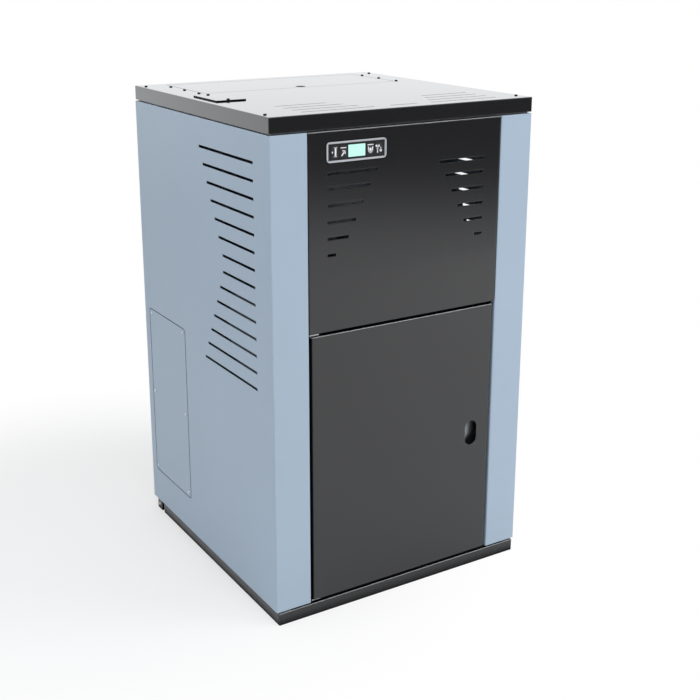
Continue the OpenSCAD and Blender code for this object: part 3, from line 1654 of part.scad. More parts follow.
module drain_lever() {
  color("#9c1f1c") {
    z = drain_z + cock_neck_h;
    rod_z(spindle_r, cock_x, drain_y, z - cock_neck_r, z + over);
    rod_z(cock_neck_r, cock_x, drain_y, z + skin_gap, z + lever_t);
    box(cock_x - lever_w / 2, cock_x + lever_w / 2, drain_y, drain_y + lever_l, z + skin_gap,
      z + lever_t);
  }
}

module control_unit() {
  color(DARK) {
    z0 = switch_z + switch_h / 2 + unit_gap;
    y1 = back_y - sheet_t;
    box(inlet_x - unit_left, inlet_x + unit_right, y1 - unit_d, y1, z0, z0 + unit_h);
    for (i = [0 : unit_plugs - 1])
      translate([inlet_x - unit_left + unit_plug_w / 2 + i * unit_plug_pitch, 0, 0])
        box(0, unit_plug_w, y1 - unit_d + 12, y1 - unit_plug_w, z0 - 6, z0 + over);
  }
}

module power_inlet() {
  color(DARK)
    difference() {
      union() {
        box(inlet_x - inlet_w / 2 - socket_rim, inlet_x + inlet_w / 2 + socket_rim, back_y,
          back_y + socket_rim_t,
          inlet_z - inlet_h / 2 - socket_rim, switch_z + switch_h / 2 + socket_rim);
        box(inlet_x - inlet_w / 2, inlet_x + inlet_w / 2, back_y - socket_d, back_y + EPS,
          inlet_z - inlet_h / 2, inlet_z + inlet_h / 2);
        box(inlet_x - switch_w / 2, inlet_x + switch_w / 2, back_y - switch_d, back_y + EPS,
          switch_z - switch_h / 2, switch_z + switch_h / 2);
      }
      box(inlet_x - inlet_w / 2 + socket_wall, inlet_x + inlet_w / 2 - socket_wall,
        back_y - socket_open_d,
        back_y + socket_rim_t + over, inlet_z - socket_half, inlet_z + socket_half);
      box(inlet_x - switch_w / 2 + socket_wall, inlet_x + switch_w / 2 - socket_wall,
        back_y - switch_d + socket_wall, back_y + socket_rim_t + over,
        switch_z - switch_h / 2 + socket_wall, switch_z + switch_h / 2 - socket_wall);
      rod_x(axle_r + run_gap, inlet_x - switch_w / 2 + skin_gap, inlet_x + switch_w / 2 - skin_gap,
        back_y - axle_in, switch_z);
    }
  color(STEEL)
    for (p = [[-pin_half, 0], [pin_half, 0], [0, earth_pin_z]])
      box(inlet_x + p[0] - over, inlet_x + p[0] + over, back_y - socket_open_d - EPS,
        back_y - axle_in - over, inlet_z + p[1] - axle_in, inlet_z + p[1] + axle_in);
}

module power_switch() {
  color("#8f1a17") {
    rod_x(axle_r, inlet_x - switch_w / 2 + 2 * skin_gap, inlet_x + switch_w / 2 - 2 * skin_gap,
      back_y - axle_in, switch_z);
    translate([inlet_x, back_y - axle_in, switch_z]) rotate([-rocker_tilt, 0, 0]) rotate([0, 90, 0])
      translate([0, 0, -rocker_x]) linear_extrude(2 * rocker_x)
        polygon([[-11, 0], [-11, 6.5], [0, 5.2], [11, 6.5], [11, 0], [6, -5], [-6, -5]]);
  }
}

module front_door() {
  color(BLACK) {
    z = (door_z0 + door_z1) / 2;
    difference() {
      union() {
        difference() {
          door_solid(0);
          door_solid(sheet_t);
        }
        for (zz = [door_z0 + sheet_t - EPS, door_z1 - sheet_t - bearing_h])
          box(-door_x + sheet_t - EPS, -door_x + bearing_w, front_y + sheet_t - EPS,
            door_back - fold_r + over, zz, zz + bearing_h + EPS);
      }
      rod_z(hinge_pin_r + run_gap, door_axis_x, door_axis_y, door_z0 - over, door_z0 + bearing_h);
      rod_z(hinge_pin_r + run_gap, door_axis_x, door_axis_y, door_z1 - bearing_h, door_z1 + over);
      box(-door_x + door_lip, door_x - door_lip, door_back - sheet_t - over, door_back + over,
        door_z0 + door_lip, door_z1 - door_lip);
      translate([finger_x, front_y + sheet_t + over, finger_z]) rotate([90, 0, 0])
        linear_extrude(sheet_t + 2 * over) stadium(finger_w, finger_h);
    }
  }
}

// The door's outer form, shrunk by g, with the two upright front edges rounded
module door_solid(g) {
  r = fold_r - min(g, sheet_t);
  translate([0, 0, door_z0 + g]) linear_extrude(door_h - 2 * g) {
    on_both_sides() translate([-door_x + g + r, front_y + g + r]) circle(r = r);
    translate([-door_x + g + r, front_y + g]) square([2 * (door_x - g - r), door_t - 2 * g]);
    translate([-door_x + g, front_y + g + r]) square([2 * (door_x - g), door_t - 2 * g - r]);
  }
}

module door_liner() {
  color(STEEL)
    translate([0, door_back - sheet_t - liner_gap, 0])
      box(-door_x + door_lip + liner_gap, door_x - door_lip - liner_gap, 0, liner_t,
        door_z0 + door_lip + liner_gap, door_z1 - door_lip - liner_gap);
}

module door_hinges() {
  color(STEEL) {
    plate_y0 = door_axis_y - hinge_front;
    x0 = door_axis_x - hinge_half;
    x1 = door_axis_x + hinge_half;
    box(x0, x1, plate_y0, door_back + hinge_back, plate_top, plate_top + hinge_plate_t);
    rod_z(hinge_pin_r, door_axis_x, door_axis_y, plate_top + hinge_plate_t - EPS,
      door_z0 + bearing_h - over);
    box(x0, x1, plate_y0, mid_rail_y, door_z1 + 2 * over, door_z1 + 2 * over + hinge_plate_t);
    rod_z(hinge_pin_r, door_axis_x, door_axis_y, door_z1 - bearing_h + over, door_z1 + 2 * over + EPS);
    box(door_x - magnet_x0, door_x - magnet_x1, door_back + skin_gap, mid_rail_y,
      door_z1 - magnet_top - magnet_h, door_z1 - magnet_top);
  }
}

base_rails();
base_plate();
inner_frame();
left_side_panel();
right_side_panel();
access_covers();
panel_screws();
front_panel();
rear_panel();
top_cover();
cover_screws();
service_plate();
console_bezel();
display_window();
console_board();
button_1();
button_2();
button_3();
button_4();
hopper_collar();
hopper();
hopper_funnel();
hopper_lid();
lid_gasket();
auger_tube();
auger_screw();
auger_motor();
feed_chute();
boiler_body();
firebox_walls();
smoke_walls();
smoke_tubes();
insulation_jacket();
firebox_lining();
burner_pot();
igniter();
firebox_door();
firebox_glass();
firebox_handle();
ash_drawer();
exchanger_cover();
scraper_frame();
turbulators();
fan_housing();
flue_duct();
fan_impeller();
fan_motor();
air_intake_pipe();
expansion_vessel();
circulation_pump();
water_pipes();
safety_valve();
drain_cock();
drain_lever();
control_unit();
power_inlet();
power_switch();
front_door();
door_liner();
door_hinges();
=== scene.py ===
"""Looks of the pellet boiler: finishes, small fastened pieces, studio floor, light and camera, in metres."""
import math

import bmesh
import bpy
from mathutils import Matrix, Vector
from mathutils.geometry import convex_hull_2d


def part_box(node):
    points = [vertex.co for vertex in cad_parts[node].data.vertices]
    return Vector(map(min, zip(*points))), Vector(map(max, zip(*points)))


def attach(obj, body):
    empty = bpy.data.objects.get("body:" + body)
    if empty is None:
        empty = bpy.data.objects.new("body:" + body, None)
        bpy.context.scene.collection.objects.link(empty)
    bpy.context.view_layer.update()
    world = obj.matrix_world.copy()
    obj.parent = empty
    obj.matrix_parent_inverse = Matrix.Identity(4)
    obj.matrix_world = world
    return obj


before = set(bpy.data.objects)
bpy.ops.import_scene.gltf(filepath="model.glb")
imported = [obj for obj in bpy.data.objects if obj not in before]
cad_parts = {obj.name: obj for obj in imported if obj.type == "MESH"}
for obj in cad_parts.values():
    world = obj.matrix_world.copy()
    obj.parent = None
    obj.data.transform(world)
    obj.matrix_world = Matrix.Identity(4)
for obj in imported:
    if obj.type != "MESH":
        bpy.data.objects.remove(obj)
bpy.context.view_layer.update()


# Camera
# A long lens on a stand, left of the front and a little above the top cover,
# with a small downward shift that keeps the upright edges nearly parallel.
eye = (-1.48306, -2.51736, 1.51844)
yaw, pitch = math.radians(31.577), math.radians(15.915)
focal_mm, sensor_mm = 59.308, 36
scene = bpy.context.scene
lens = bpy.data.cameras.new("studio_camera")
lens.lens, lens.sensor_width = focal_mm, sensor_mm
lens.shift_x, lens.shift_y = 0.0112, -0.09
camera = bpy.data.objects.new("studio_camera", lens)
scene.collection.objects.link(camera)
camera.location = eye
look = Vector((math.sin(yaw) * math.cos(pitch), math.cos(yaw) * math.cos(pitch), -math.sin(pitch)))
camera.rotation_mode = "QUATERNION"
camera.rotation_quaternion = look.to_track_quat("-Z", "Y")
scene.camera = camera


# Studio
# White sweep, a large soft lamp overhead and one at each side, in a room that is darker
# behind the camera, which the glossy black panels mirror.
def add_node(tree, kind, values=None, **settings):
    """Adds a shader node with its settings and the values of its inputs."""
    made = tree.nodes.new(kind)
    for key, value in settings.items():
        setattr(made, key, value)
    for key, value in (values or {}).items():
        made.inputs[key].default_value = value
    return made


def join(tree, *wires):
    """Links sockets: a wire is a node, its output, the next node and its input."""
    for source, out, into, plug in wires:
        tree.links.new(source.outputs[out], into.inputs[plug])


# the room is half as bright for diffuse light as the white that the camera sees, and reflections
# find it dark behind the camera from just under the horizon upwards
scene.view_settings.view_transform = "Standard"
room = bpy.data.worlds.new("studio_room")
room.use_nodes = True
scene.world = room
tree = room.node_tree
tree.nodes.clear()
path = add_node(tree, "ShaderNodeLightPath")
seen = add_node(tree, "ShaderNodeMath", operation="MAXIMUM")
where = add_node(tree, "ShaderNodeTexCoord")
axes = add_node(tree, "ShaderNodeSeparateXYZ")
behind = add_node(tree, "ShaderNodeMapRange", {"From Min": -0.25, "From Max": -0.6},
    interpolation_type="SMOOTHSTEP")
above = add_node(tree, "ShaderNodeMapRange", {"From Min": -0.25, "From Max": -0.165},
    interpolation_type="SMOOTHSTEP")
dark = add_node(tree, "ShaderNodeMath", operation="MULTIPLY")
dim = add_node(tree, "ShaderNodeMath", {1: -0.9, 2: 1.0}, operation="MULTIPLY_ADD")
camera_or_glass = add_node(tree, "ShaderNodeMix", {"A": 0.5, "B": 1.0})
level = add_node(tree, "ShaderNodeMix")
shell = add_node(tree, "ShaderNodeBackground")
cool = add_node(tree, "ShaderNodeMix", {"A": (0.975, 0.988, 1, 1), "B": (1, 1, 1, 1)}, data_type="RGBA")
out = add_node(tree, "ShaderNodeOutputWorld")
join(tree, (path, "Is Camera Ray", seen, 0), (path, "Is Transmission Ray", seen, 1),
    (where, "Generated", axes, 0), (axes, "Y", behind, "Value"), (axes, "Z", above, "Value"),
    (behind, 0, dark, 0), (above, 0, dark, 1), (dark, 0, dim, 0), (seen, 0, camera_or_glass, "Factor"),
    (path, "Is Glossy Ray", level, "Factor"), (camera_or_glass, "Result", level, "A"),
    (dim, 0, level, "B"), (level, "Result", shell, "Strength"), (path, "Is Camera Ray", cool, "Factor"),
    (cool, "Result", shell, "Color"), (shell, 0, out, "Surface"))

aim = Vector((0, 0, 0.6))
for name, at, size, watts in (("overhead_lamp", (-0.6, -1.2, 4.2), 3.6, 85),
        ("right_lamp", (3.4, -3.2, 2.4), 2.4, 85), ("left_lamp", (-4.2, -0.6, 2.2), 2.6, 12)):
    glow = bpy.data.lights.new(name, "AREA")
    glow.shape, glow.size, glow.energy = "SQUARE", size, watts
    lamp = bpy.data.objects.new(name, glow)
    scene.collection.objects.link(lamp)
    lamp.location = at
    lamp.rotation_mode = "QUATERNION"
    lamp.rotation_quaternion = (aim - Vector(at)).to_track_quat("-Z", "Y")
    lamp.visible_glossy = name == "overhead_lamp"

# the floor shades round the object and fades to the camera's white further out: a painted pool of light
# whose glow rises with distance from a point left of and behind the object
sweep_half, sweep_front, shadow_mid = 6.0, -3.0, (-0.5, 0.3, 0)
sheet = bpy.data.meshes.new("floor")
form = bmesh.new()
bmesh.ops.create_grid(form, x_segments=2, y_segments=2, size=sweep_half)
for corner in form.verts:
    corner.co.y = max(corner.co.y, sweep_front)
form.to_mesh(sheet)
form.free()
floor = bpy.data.objects.new("floor", sheet)
scene.collection.objects.link(floor)
sweep = bpy.data.materials.new("white_sweep")
sweep.use_nodes = True
tree = sweep.node_tree
tree.nodes.clear()
path = add_node(tree, "ShaderNodeLightPath")
where = add_node(tree, "ShaderNodeTexCoord")
far = add_node(tree, "ShaderNodeVectorMath", {1: shadow_mid}, operation="DISTANCE")
fade = add_node(tree, "ShaderNodeMapRange", {"From Min": 0.4, "From Max": 1.15, "To Min": 0.55},
    interpolation_type="SMOOTHSTEP")
painted_glow = add_node(tree, "ShaderNodeMath", operation="MULTIPLY")
grain = add_node(tree, "ShaderNodeTexNoise", {"Scale": 40.0, "Detail": 3.0})
tone = add_node(tree, "ShaderNodeMix", {"A": (0.86, 0.87, 0.88, 1), "B": (0.88, 0.88, 0.88, 1)},
    data_type="RGBA")
matt = add_node(tree, "ShaderNodeBsdfPrincipled", {"Roughness": 0.9})
white = add_node(tree, "ShaderNodeEmission", {"Color": (1, 1, 1, 1), "Strength": 1.0})
blend = add_node(tree, "ShaderNodeMixShader")
out = add_node(tree, "ShaderNodeOutputMaterial")
join(tree, (where, "Object", far, 0), (far, "Value", fade, "Value"), (fade, 0, painted_glow, 0),
    (path, "Is Camera Ray", painted_glow, 1), (where, "Object", grain, "Vector"), (grain, "Fac", tone, "Factor"),
    (tone, "Result", matt, "Base Color"), (painted_glow, 0, blend, 0), (matt, 0, blend, 1), (white, 0, blend, 2),
    (blend, 0, out, "Surface"))
sheet.materials.append(sweep)


# Base rails and inner frame
# Folded steel rails, powder coated in glossy black, stand on the floor. The posts and the
# top frame are galvanised angle, and the base plate is plain steel painted matt black.
def srgb(red, green, blue):
    """A screen colour, 0 to 255, as the linear colour that shaders take."""
    return tuple(((c / 255 + 0.055) / 1.055) ** 2.4 if c > 10 else c / 255 / 12.92
        for c in (red, green, blue)) + (1.0,)


def new_group(name, inputs, outputs):
    """A shader group with its sockets, and its input and output nodes."""
    group = bpy.data.node_groups.new(name, "ShaderNodeTree")
    for label, kind, value in inputs:
        plug = group.interface.new_socket(label, in_out="INPUT", socket_type=kind)
        plug.default_value = value
    for label, kind in outputs:
        group.interface.new_socket(label, in_out="OUTPUT", socket_type=kind)
    return group, group.nodes.new("NodeGroupInput"), group.nodes.new("NodeGroupOutput")


# fine orange peel of a baked coat, soft edges with a painted highlight along the node's top, painted shade
# in creases and seams, and an output for how open the spot lies, which hushes reflections deep inside as
# painted shade
coat_group, given, given_out = new_group("baked_coat",
    [("Colour", "NodeSocketColor", (0.5, 0.5, 0.5, 1)), ("Roughness", "NodeSocketFloat", 0.3),
    ("Peel", "NodeSocketFloat", 0.05), ("Size", "NodeSocketFloat", 700.0),
    ("Edge", "NodeSocketFloat", 0.0012), ("Rim", "NodeSocketFloat", 0.0),
    ("Rim Height", "NodeSocketFloat", 0.0)],
    [("Colour", "NodeSocketColor"), ("Roughness", "NodeSocketFloat"), ("Normal", "NodeSocketVector"),
    ("Open", "NodeSocketFloat")])
where = add_node(coat_group, "ShaderNodeTexCoord")
peel = add_node(coat_group, "ShaderNodeTexNoise", {"Detail": 1.5})
cloud = add_node(coat_group, "ShaderNodeTexNoise", {"Scale": 3.0, "Detail": 3.0})
spread = add_node(coat_group, "ShaderNodeMapRange", {"To Min": 0.96, "To Max": 1.04})
tint = add_node(coat_group, "ShaderNodeVectorMath", operation="SCALE")
rough = add_node(coat_group, "ShaderNodeMath", operation="MULTIPLY")
soft_edge = add_node(coat_group, "ShaderNodeBevel", samples=4)
bump = add_node(coat_group, "ShaderNodeBump", {"Distance": 0.0004})
facing = add_node(coat_group, "ShaderNodeNewGeometry")
flat_up = add_node(coat_group, "ShaderNodeSeparateXYZ")
bent_up = add_node(coat_group, "ShaderNodeSeparateXYZ")
turn_up = add_node(coat_group, "ShaderNodeMath", operation="SUBTRACT")
catch = add_node(coat_group, "ShaderNodeMapRange", {"From Min": 0.05, "From Max": 0.35})
lit_edge = add_node(coat_group, "ShaderNodeMath", operation="MULTIPLY")
height = add_node(coat_group, "ShaderNodeSeparateXYZ")
at_top = add_node(coat_group, "ShaderNodeMath", {2: 0.005}, operation="COMPARE")
top_edge = add_node(coat_group, "ShaderNodeMath", operation="MULTIPLY")
# painted shade: ambient occlusion darkens the colour in creases and in the seams between parts
crevice = add_node(coat_group, "ShaderNodeAmbientOcclusion", {"Distance": 0.005}, samples=6)
painted_crease_shade = add_node(coat_group, "ShaderNodeMapRange", {"From Min": 0.45, "From Max": 0.9, "To Min": 0.3})
crease_shaded = add_node(coat_group, "ShaderNodeVectorMath", operation="SCALE")
# painted shade: occlusion over 3 cm gives a mask that lowers reflections in pockets
pocket = add_node(coat_group, "ShaderNodeAmbientOcclusion", {"Distance": 0.03}, samples=6)
openness = add_node(coat_group, "ShaderNodeMapRange", {"From Min": 0.5, "From Max": 0.9})
# painted highlight: the colour turns pale where the soft edge bends upward at the node's top
painted_edge_highlight = add_node(coat_group, "ShaderNodeMix", {"B": (0.85, 0.86, 0.9, 1)}, data_type="RGBA")
join(coat_group, (where, "Object", peel, "Vector"), (given, "Size", peel, "Scale"),
    (where, "Object", cloud, "Vector"), (cloud, "Fac", spread, "Value"), (given, "Colour", tint, 0),
    (spread, 0, tint, "Scale"), (facing, "Normal", flat_up, 0), (soft_edge, 0, bent_up, 0),
    (bent_up, "Z", turn_up, 0), (flat_up, "Z", turn_up, 1), (turn_up, 0, catch, "Value"),
    (catch, 0, lit_edge, 0), (given, "Rim", lit_edge, 1), (where, "Object", height, 0),
    (height, "Z", at_top, 0), (given, "Rim Height", at_top, 1), (lit_edge, 0, top_edge, 0),
    (at_top, 0, top_edge, 1), (top_edge, 0, painted_edge_highlight, "Factor"), (crevice, "AO", painted_crease_shade, "Value"),
    (tint, 0, crease_shaded, 0), (painted_crease_shade, 0, crease_shaded, "Scale"), (crease_shaded, 0, painted_edge_highlight, "A"),
    (pocket, "AO", openness, "Value"), (openness, 0, given_out, "Open"),
    (painted_edge_highlight, "Result", given_out, "Colour"), (given, "Roughness", rough, 0), (spread, 0, rough, 1),
    (rough, 0, given_out, "Roughness"), (given, "Edge", soft_edge, "Radius"),
    (soft_edge, 0, bump, "Normal"), (given, "Peel", bump, "Strength"), (peel, "Fac", bump, "Height"),
    (bump, 0, given_out, "Normal"))

# dust that settles on upward faces, patchy, as a mask
dust_group, given, given_out = new_group("settled_dust", [("Amount", "NodeSocketFloat", 0.2)],
    [("Mask", "NodeSocketFloat")])
facing = add_node(dust_group, "ShaderNodeNewGeometry")
axes = add_node(dust_group, "ShaderNodeSeparateXYZ")
upward = add_node(dust_group, "ShaderNodeMapRange", {"From Min": 0.55, "From Max": 0.98})
where = add_node(dust_group, "ShaderNodeTexCoord")
patches = add_node(dust_group, "ShaderNodeTexNoise", {"Scale": 28.0, "Detail": 5.0, "Roughness": 0.65})
patchy = add_node(dust_group, "ShaderNodeMapRange", {"From Min": 0.35, "From Max": 0.7})
lying = add_node(dust_group, "ShaderNodeMath", operation="MULTIPLY")
share = add_node(dust_group, "ShaderNodeMath", operation="MULTIPLY")
join(dust_group, (facing, "Normal", axes, 0), (axes, "Z", upward, "Value"),
    (where, "Object", patches, "Vector"), (patches, "Fac", patchy, "Value"), (upward, 0, lying, 0),
    (patchy, 0, lying, 1), (lying, 0, share, 0), (given, "Amount", share, 1),
    (share, 0, given_out, "Mask"))

# frost-like crystals of hot-dip zinc
zinc_group, given, given_out = new_group("zinc_crystals",
    [("Colour", "NodeSocketColor", (0.5, 0.5, 0.5, 1)), ("Size", "NodeSocketFloat", 90.0),
    ("Contrast", "NodeSocketFloat", 0.18), ("Roughness", "NodeSocketFloat", 0.4)],
    [("Colour", "NodeSocketColor"), ("Roughness", "NodeSocketFloat"), ("Normal", "NodeSocketVector")])
where = add_node(zinc_group, "ShaderNodeTexCoord")
warp = add_node(zinc_group, "ShaderNodeTexNoise", {"Scale": 60.0, "Detail": 2.0})
bend = add_node(zinc_group, "ShaderNodeVectorMath", {"Scale": 0.012}, operation="SCALE")
moved = add_node(zinc_group, "ShaderNodeVectorMath", operation="ADD")
cells = add_node(zinc_group, "ShaderNodeTexVoronoi")
pick = add_node(zinc_group, "ShaderNodeSeparateColor")
centred = add_node(zinc_group, "ShaderNodeMath", {1: 0.5}, operation="SUBTRACT")
scaled = add_node(zinc_group, "ShaderNodeMath", operation="MULTIPLY")
tone = add_node(zinc_group, "ShaderNodeMath", {1: 1.0}, operation="ADD")
tint = add_node(zinc_group, "ShaderNodeVectorMath", operation="SCALE")
rough = add_node(zinc_group, "ShaderNodeMath", operation="MULTIPLY")
bump = add_node(zinc_group, "ShaderNodeBump", {"Strength": 0.06, "Distance": 0.0006})
soft_edge = add_node(zinc_group, "ShaderNodeBevel", {"Radius": 0.0006}, samples=4)
join(zinc_group, (where, "Object", warp, "Vector"), (warp, "Color", bend, 0), (where, "Object", moved, 0),
    (bend, 0, moved, 1), (moved, 0, cells, "Vector"), (given, "Size", cells, "Scale"),
    (cells, "Color", pick, 0), (pick, 0, centred, 0), (centred, 0, scaled, 0),
    (given, "Contrast", scaled, 1), (scaled, 0, tone, 0), (given, "Colour", tint, 0),
    (tone, 0, tint, "Scale"), (tint, 0, given_out, "Colour"), (given, "Roughness", rough, 0),
    (tone, 0, rough, 1), (rough, 0, given_out, "Roughness"), (pick, 1, bump, "Height"),
    (soft_edge, 0, bump, "Normal"), (bump, 0, given_out, "Normal"))


def new_finish(name, group, values, **shader):
    """A material whose colour, roughness and normal come from one surface group."""
    made = bpy.data.materials.new(name)
    made.use_nodes = True
    tree = made.node_tree
    bsdf = tree.nodes["Principled BSDF"]
    skin = add_node(tree, "ShaderNodeGroup", node_tree=group)
    for key, value in values.items():
        skin.inputs[key].default_value = value
    for key, value in shader.items():
        bsdf.inputs[key.replace("_", " ")].default_value = value
    for label, plug in (("Colour", "Base Color"), ("Roughness", "Roughness"), ("Normal", "Normal")):
        if label in skin.outputs:
            join(tree, (skin, label, bsdf, plug))
    # painted shade: the specular and coat weights drop where the occlusion mask finds a pocket
    if "Open" in skin.outputs:
        for plug in ("Specular IOR Level", "Coat Weight"):
            hushed = add_node(tree, "ShaderNodeMath", {1: bsdf.inputs[plug].default_value},
                operation="MULTIPLY")
            join(tree, (skin, "Open", hushed, 0), (hushed, 0, bsdf, plug))
    return made


def add_dust(made, amount, colour=(0.62, 0.6, 0.57, 1)):
    """Settled dust over a finish: paler and matt where it lies."""
    tree = made.node_tree
    bsdf = tree.nodes["Principled BSDF"]
    mask = add_node(tree, "ShaderNodeGroup", node_tree=dust_group)
    mask.inputs["Amount"].default_value = amount
    pale = add_node(tree, "ShaderNodeMix", {"B": colour}, data_type="RGBA")
    matt = add_node(tree, "ShaderNodeMix", {"B": 0.85})
    for over, plug in ((pale, "Base Color"), (matt, "Roughness")):
        tree.links.new(bsdf.inputs[plug].links[0].from_socket, over.inputs["A"])
        join(tree, (mask, 0, over, "Factor"), (over, "Result", bsdf, plug))
    return made


def dress(material, *names):
    """Gives CAD nodes their material."""
    for name in names:
        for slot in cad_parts[name].material_slots:
            slot.material = material


def black_coat(node, top=None):
    """Glossy black powder coat, a touch paler along the node's upper edge as a painted highlight."""
    top = top or max(corner.co.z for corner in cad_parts[node].data.vertices)
    return new_finish(node + "_coat", coat_group,
        {"Colour": srgb(22, 22, 24), "Roughness": 0.16, "Peel": 0.02, "Size": 480.0, "Edge": 0.0035,
        "Rim": 0.8, "Rim Height": top}, IOR=1.5, Coat_Weight=0.6, Coat_Roughness=0.06, Coat_IOR=1.5)


cover_coat = new_finish("cover_coat", coat_group,
    {"Colour": srgb(22, 22, 24), "Roughness": 0.1, "Peel": 0.012, "Size": 480.0, "Edge": 0.0022},
    IOR=1.48, Coat_Weight=1.0, Coat_Roughness=0.03, Coat_IOR=1.6)
matt_black = new_finish("matt_black_steel", coat_group,
    {"Colour": srgb(46, 46, 48), "Roughness": 0.62, "Peel": 0.12, "Size": 900.0, "Edge": 0.0006})
add_dust(matt_black, 0.25)
zinc = new_finish("galvanised_sheet", zinc_group,
    {"Colour": srgb(176, 180, 184), "Size": 95.0, "Contrast": 0.22, "Roughness": 0.38}, Metallic=1.0)
dress(black_coat("base_rails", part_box("base_plate")[0].z), "base_rails")
dress(matt_black, "base_plate")
dress(zinc, "inner_frame")


# Boiler body
# Welded steel plate with a water jacket, painted in heat-proof grey; the firebox, smoke
# box and tubes inside are bare hot-rolled steel, sooted by the fire.
cast_group, given, given_out = new_group("rough_skin",
    [("Colour", "NodeSocketColor", (0.5, 0.5, 0.5, 1)),
    ("Second Colour", "NodeSocketColor", (0.4, 0.4, 0.4, 1)), ("Grain", "NodeSocketFloat", 260.0),
    ("Depth", "NodeSocketFloat", 0.35), ("Patches", "NodeSocketFloat", 14.0),
    ("Roughness", "NodeSocketFloat", 0.7)],
    [("Colour", "NodeSocketColor"), ("Roughness", "NodeSocketFloat"), ("Normal", "NodeSocketVector")])
where = add_node(cast_group, "ShaderNodeTexCoord")
grains = add_node(cast_group, "ShaderNodeTexNoise", {"Detail": 4.0, "Roughness": 0.6})
patches = add_node(cast_group, "ShaderNodeTexNoise", {"Detail": 5.0, "Roughness": 0.62})
blotch = add_node(cast_group, "ShaderNodeMapRange", {"From Min": 0.35, "From Max": 0.68})
mixed = add_node(cast_group, "ShaderNodeMix", data_type="RGBA")
swing = add_node(cast_group, "ShaderNodeMapRange", {"To Min": 0.85, "To Max": 1.12})
rough = add_node(cast_group, "ShaderNodeMath", operation="MULTIPLY")
soft_edge = add_node(cast_group, "ShaderNodeBevel", {"Radius": 0.001}, samples=4)
bump = add_node(cast_group, "ShaderNodeBump", {"Distance": 0.0008})
join(cast_group, (where, "Object", grains, "Vector"), (given, "Grain", grains, "Scale"),
    (where, "Object", patches, "Vector"), (given, "Patches", patches, "Scale"),
    (patches, "Fac", blotch, "Value"), (blotch, 0, mixed, "Factor"), (given, "Colour", mixed, "A"),
    (given, "Second Colour", mixed, "B"), (mixed, "Result", given_out, "Colour"),
    (grains, "Fac", swing, "Value"), (given, "Roughness", rough, 0), (swing, 0, rough, 1),
    (rough, 0, given_out, "Roughness"), (soft_edge, 0, bump, "Normal"),
    (given, "Depth", bump, "Strength"), (grains, "Fac", bump, "Height"), (bump, 0, given_out, "Normal"))
stove_paint = new_finish("heatproof_paint", cast_group,
    {"Colour": srgb(66, 64, 62), "Second Colour": srgb(78, 76, 73), "Grain": 420.0, "Depth": 0.25,
    "Roughness": 0.6})
add_dust(stove_paint, 0.2)
sooted_plate = new_finish("sooted_plate", cast_group,
    {"Colour": srgb(58, 54, 50), "Second Colour": srgb(33, 31, 30), "Grain": 180.0, "Depth": 0.3,
    "Patches": 9.0, "Roughness": 0.72}, Metallic=0.35)
dress(stove_paint, "boiler_body", "exchanger_cover")
dress(sooted_plate, "firebox_walls", "smoke_walls", "smoke_tubes")


def place(name, form, material, body, smooth=True, sharp_deg=38):
    """Puts a bmesh into the scene as a piece that rides on a body."""
    bmesh.ops.recalc_face_normals(form, faces=form.faces)
    mesh = bpy.data.meshes.new(name)
    form.to_mesh(mesh)
    form.free()
    if smooth:
        mesh.shade_smooth()
        mesh.set_sharp_from_angle(angle=math.radians(sharp_deg))
    mesh.materials.append(material)
    made = bpy.data.objects.new(name, mesh)
    scene.collection.objects.link(made)
    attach(made, body)
    return made


def ring(form, centre, axis, radius, count):
    """Adds a ring of corners round an axis."""
    axis = Vector(axis).normalized()
    side = axis.orthogonal().normalized()
    other = axis.cross(side)
    angles = [math.tau * k / count for k in range(count)]
    return [form.verts.new(centre + (side * math.cos(a) + other * math.sin(a)) * radius) for a in angles]


def bridge(form, rings):
    """Joins neighbouring rings with faces; a ring may be a single corner."""
    for one, two in zip(rings, rings[1:]):
        for k in range(max(len(one), len(two))):
            loop = one[k % len(one)], one[(k + 1) % len(one)], two[(k + 1) % len(two)], two[k % len(two)]
            loop = list(dict.fromkeys(loop))
            if len(loop) > 2:
                form.faces.new(loop)


def weld_bead(name, ends, radius, material, body, ripple=0.18, beat=1.57, pitch=0.7):
    """Rippled beads of weld metal, one along each pair of points."""
    form = bmesh.new()
    for start, end in ends:
        start, run = Vector(start), Vector(end) - Vector(start)
        steps = max(int(run.length / (radius * pitch)), 4)
        rings = []
        for i in range(steps + 1):
            swell = radius * (1 - ripple + ripple * abs(math.sin(i * beat)))
            rings.append(ring(form, start + run * (i / steps), run, swell, 6))
        bridge(form, rings)
        form.faces.new(rings[0])
        form.faces.new(rings[-1])
    return place(name, form, material, body)


# beads along the jacket's front edges and the two long edges of its top
body_lo, body_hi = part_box("boiler_body")
jacket_depth, foot_h, bead_r = 0.400, 0.025, 0.0022
bead_in, short, mitre = 0.0006, 0.003, 0.001
jacket_front, jacket_low = body_hi.y - jacket_depth, body_lo.z + foot_h
bead_x, bead_y, bead_z = body_hi.x - bead_in, jacket_front + bead_in, body_hi.z - bead_in
uprights = [((x, bead_y, jacket_low + 2 * mitre), (x, bead_y, body_hi.z - 2 * mitre))
    for x in (-bead_x, bead_x)]
crossings = [((short - body_hi.x, bead_y, z), (body_hi.x - short, bead_y, z))
    for z in (jacket_low + mitre, bead_z)]
top_seams = [((x, jacket_front + short, bead_z), (x, body_hi.y - short, bead_z))
    for x in (-bead_x, bead_x)]
weld_bead("jacket_welds", uprights + crossings + top_seams, bead_r, stove_paint, "root")


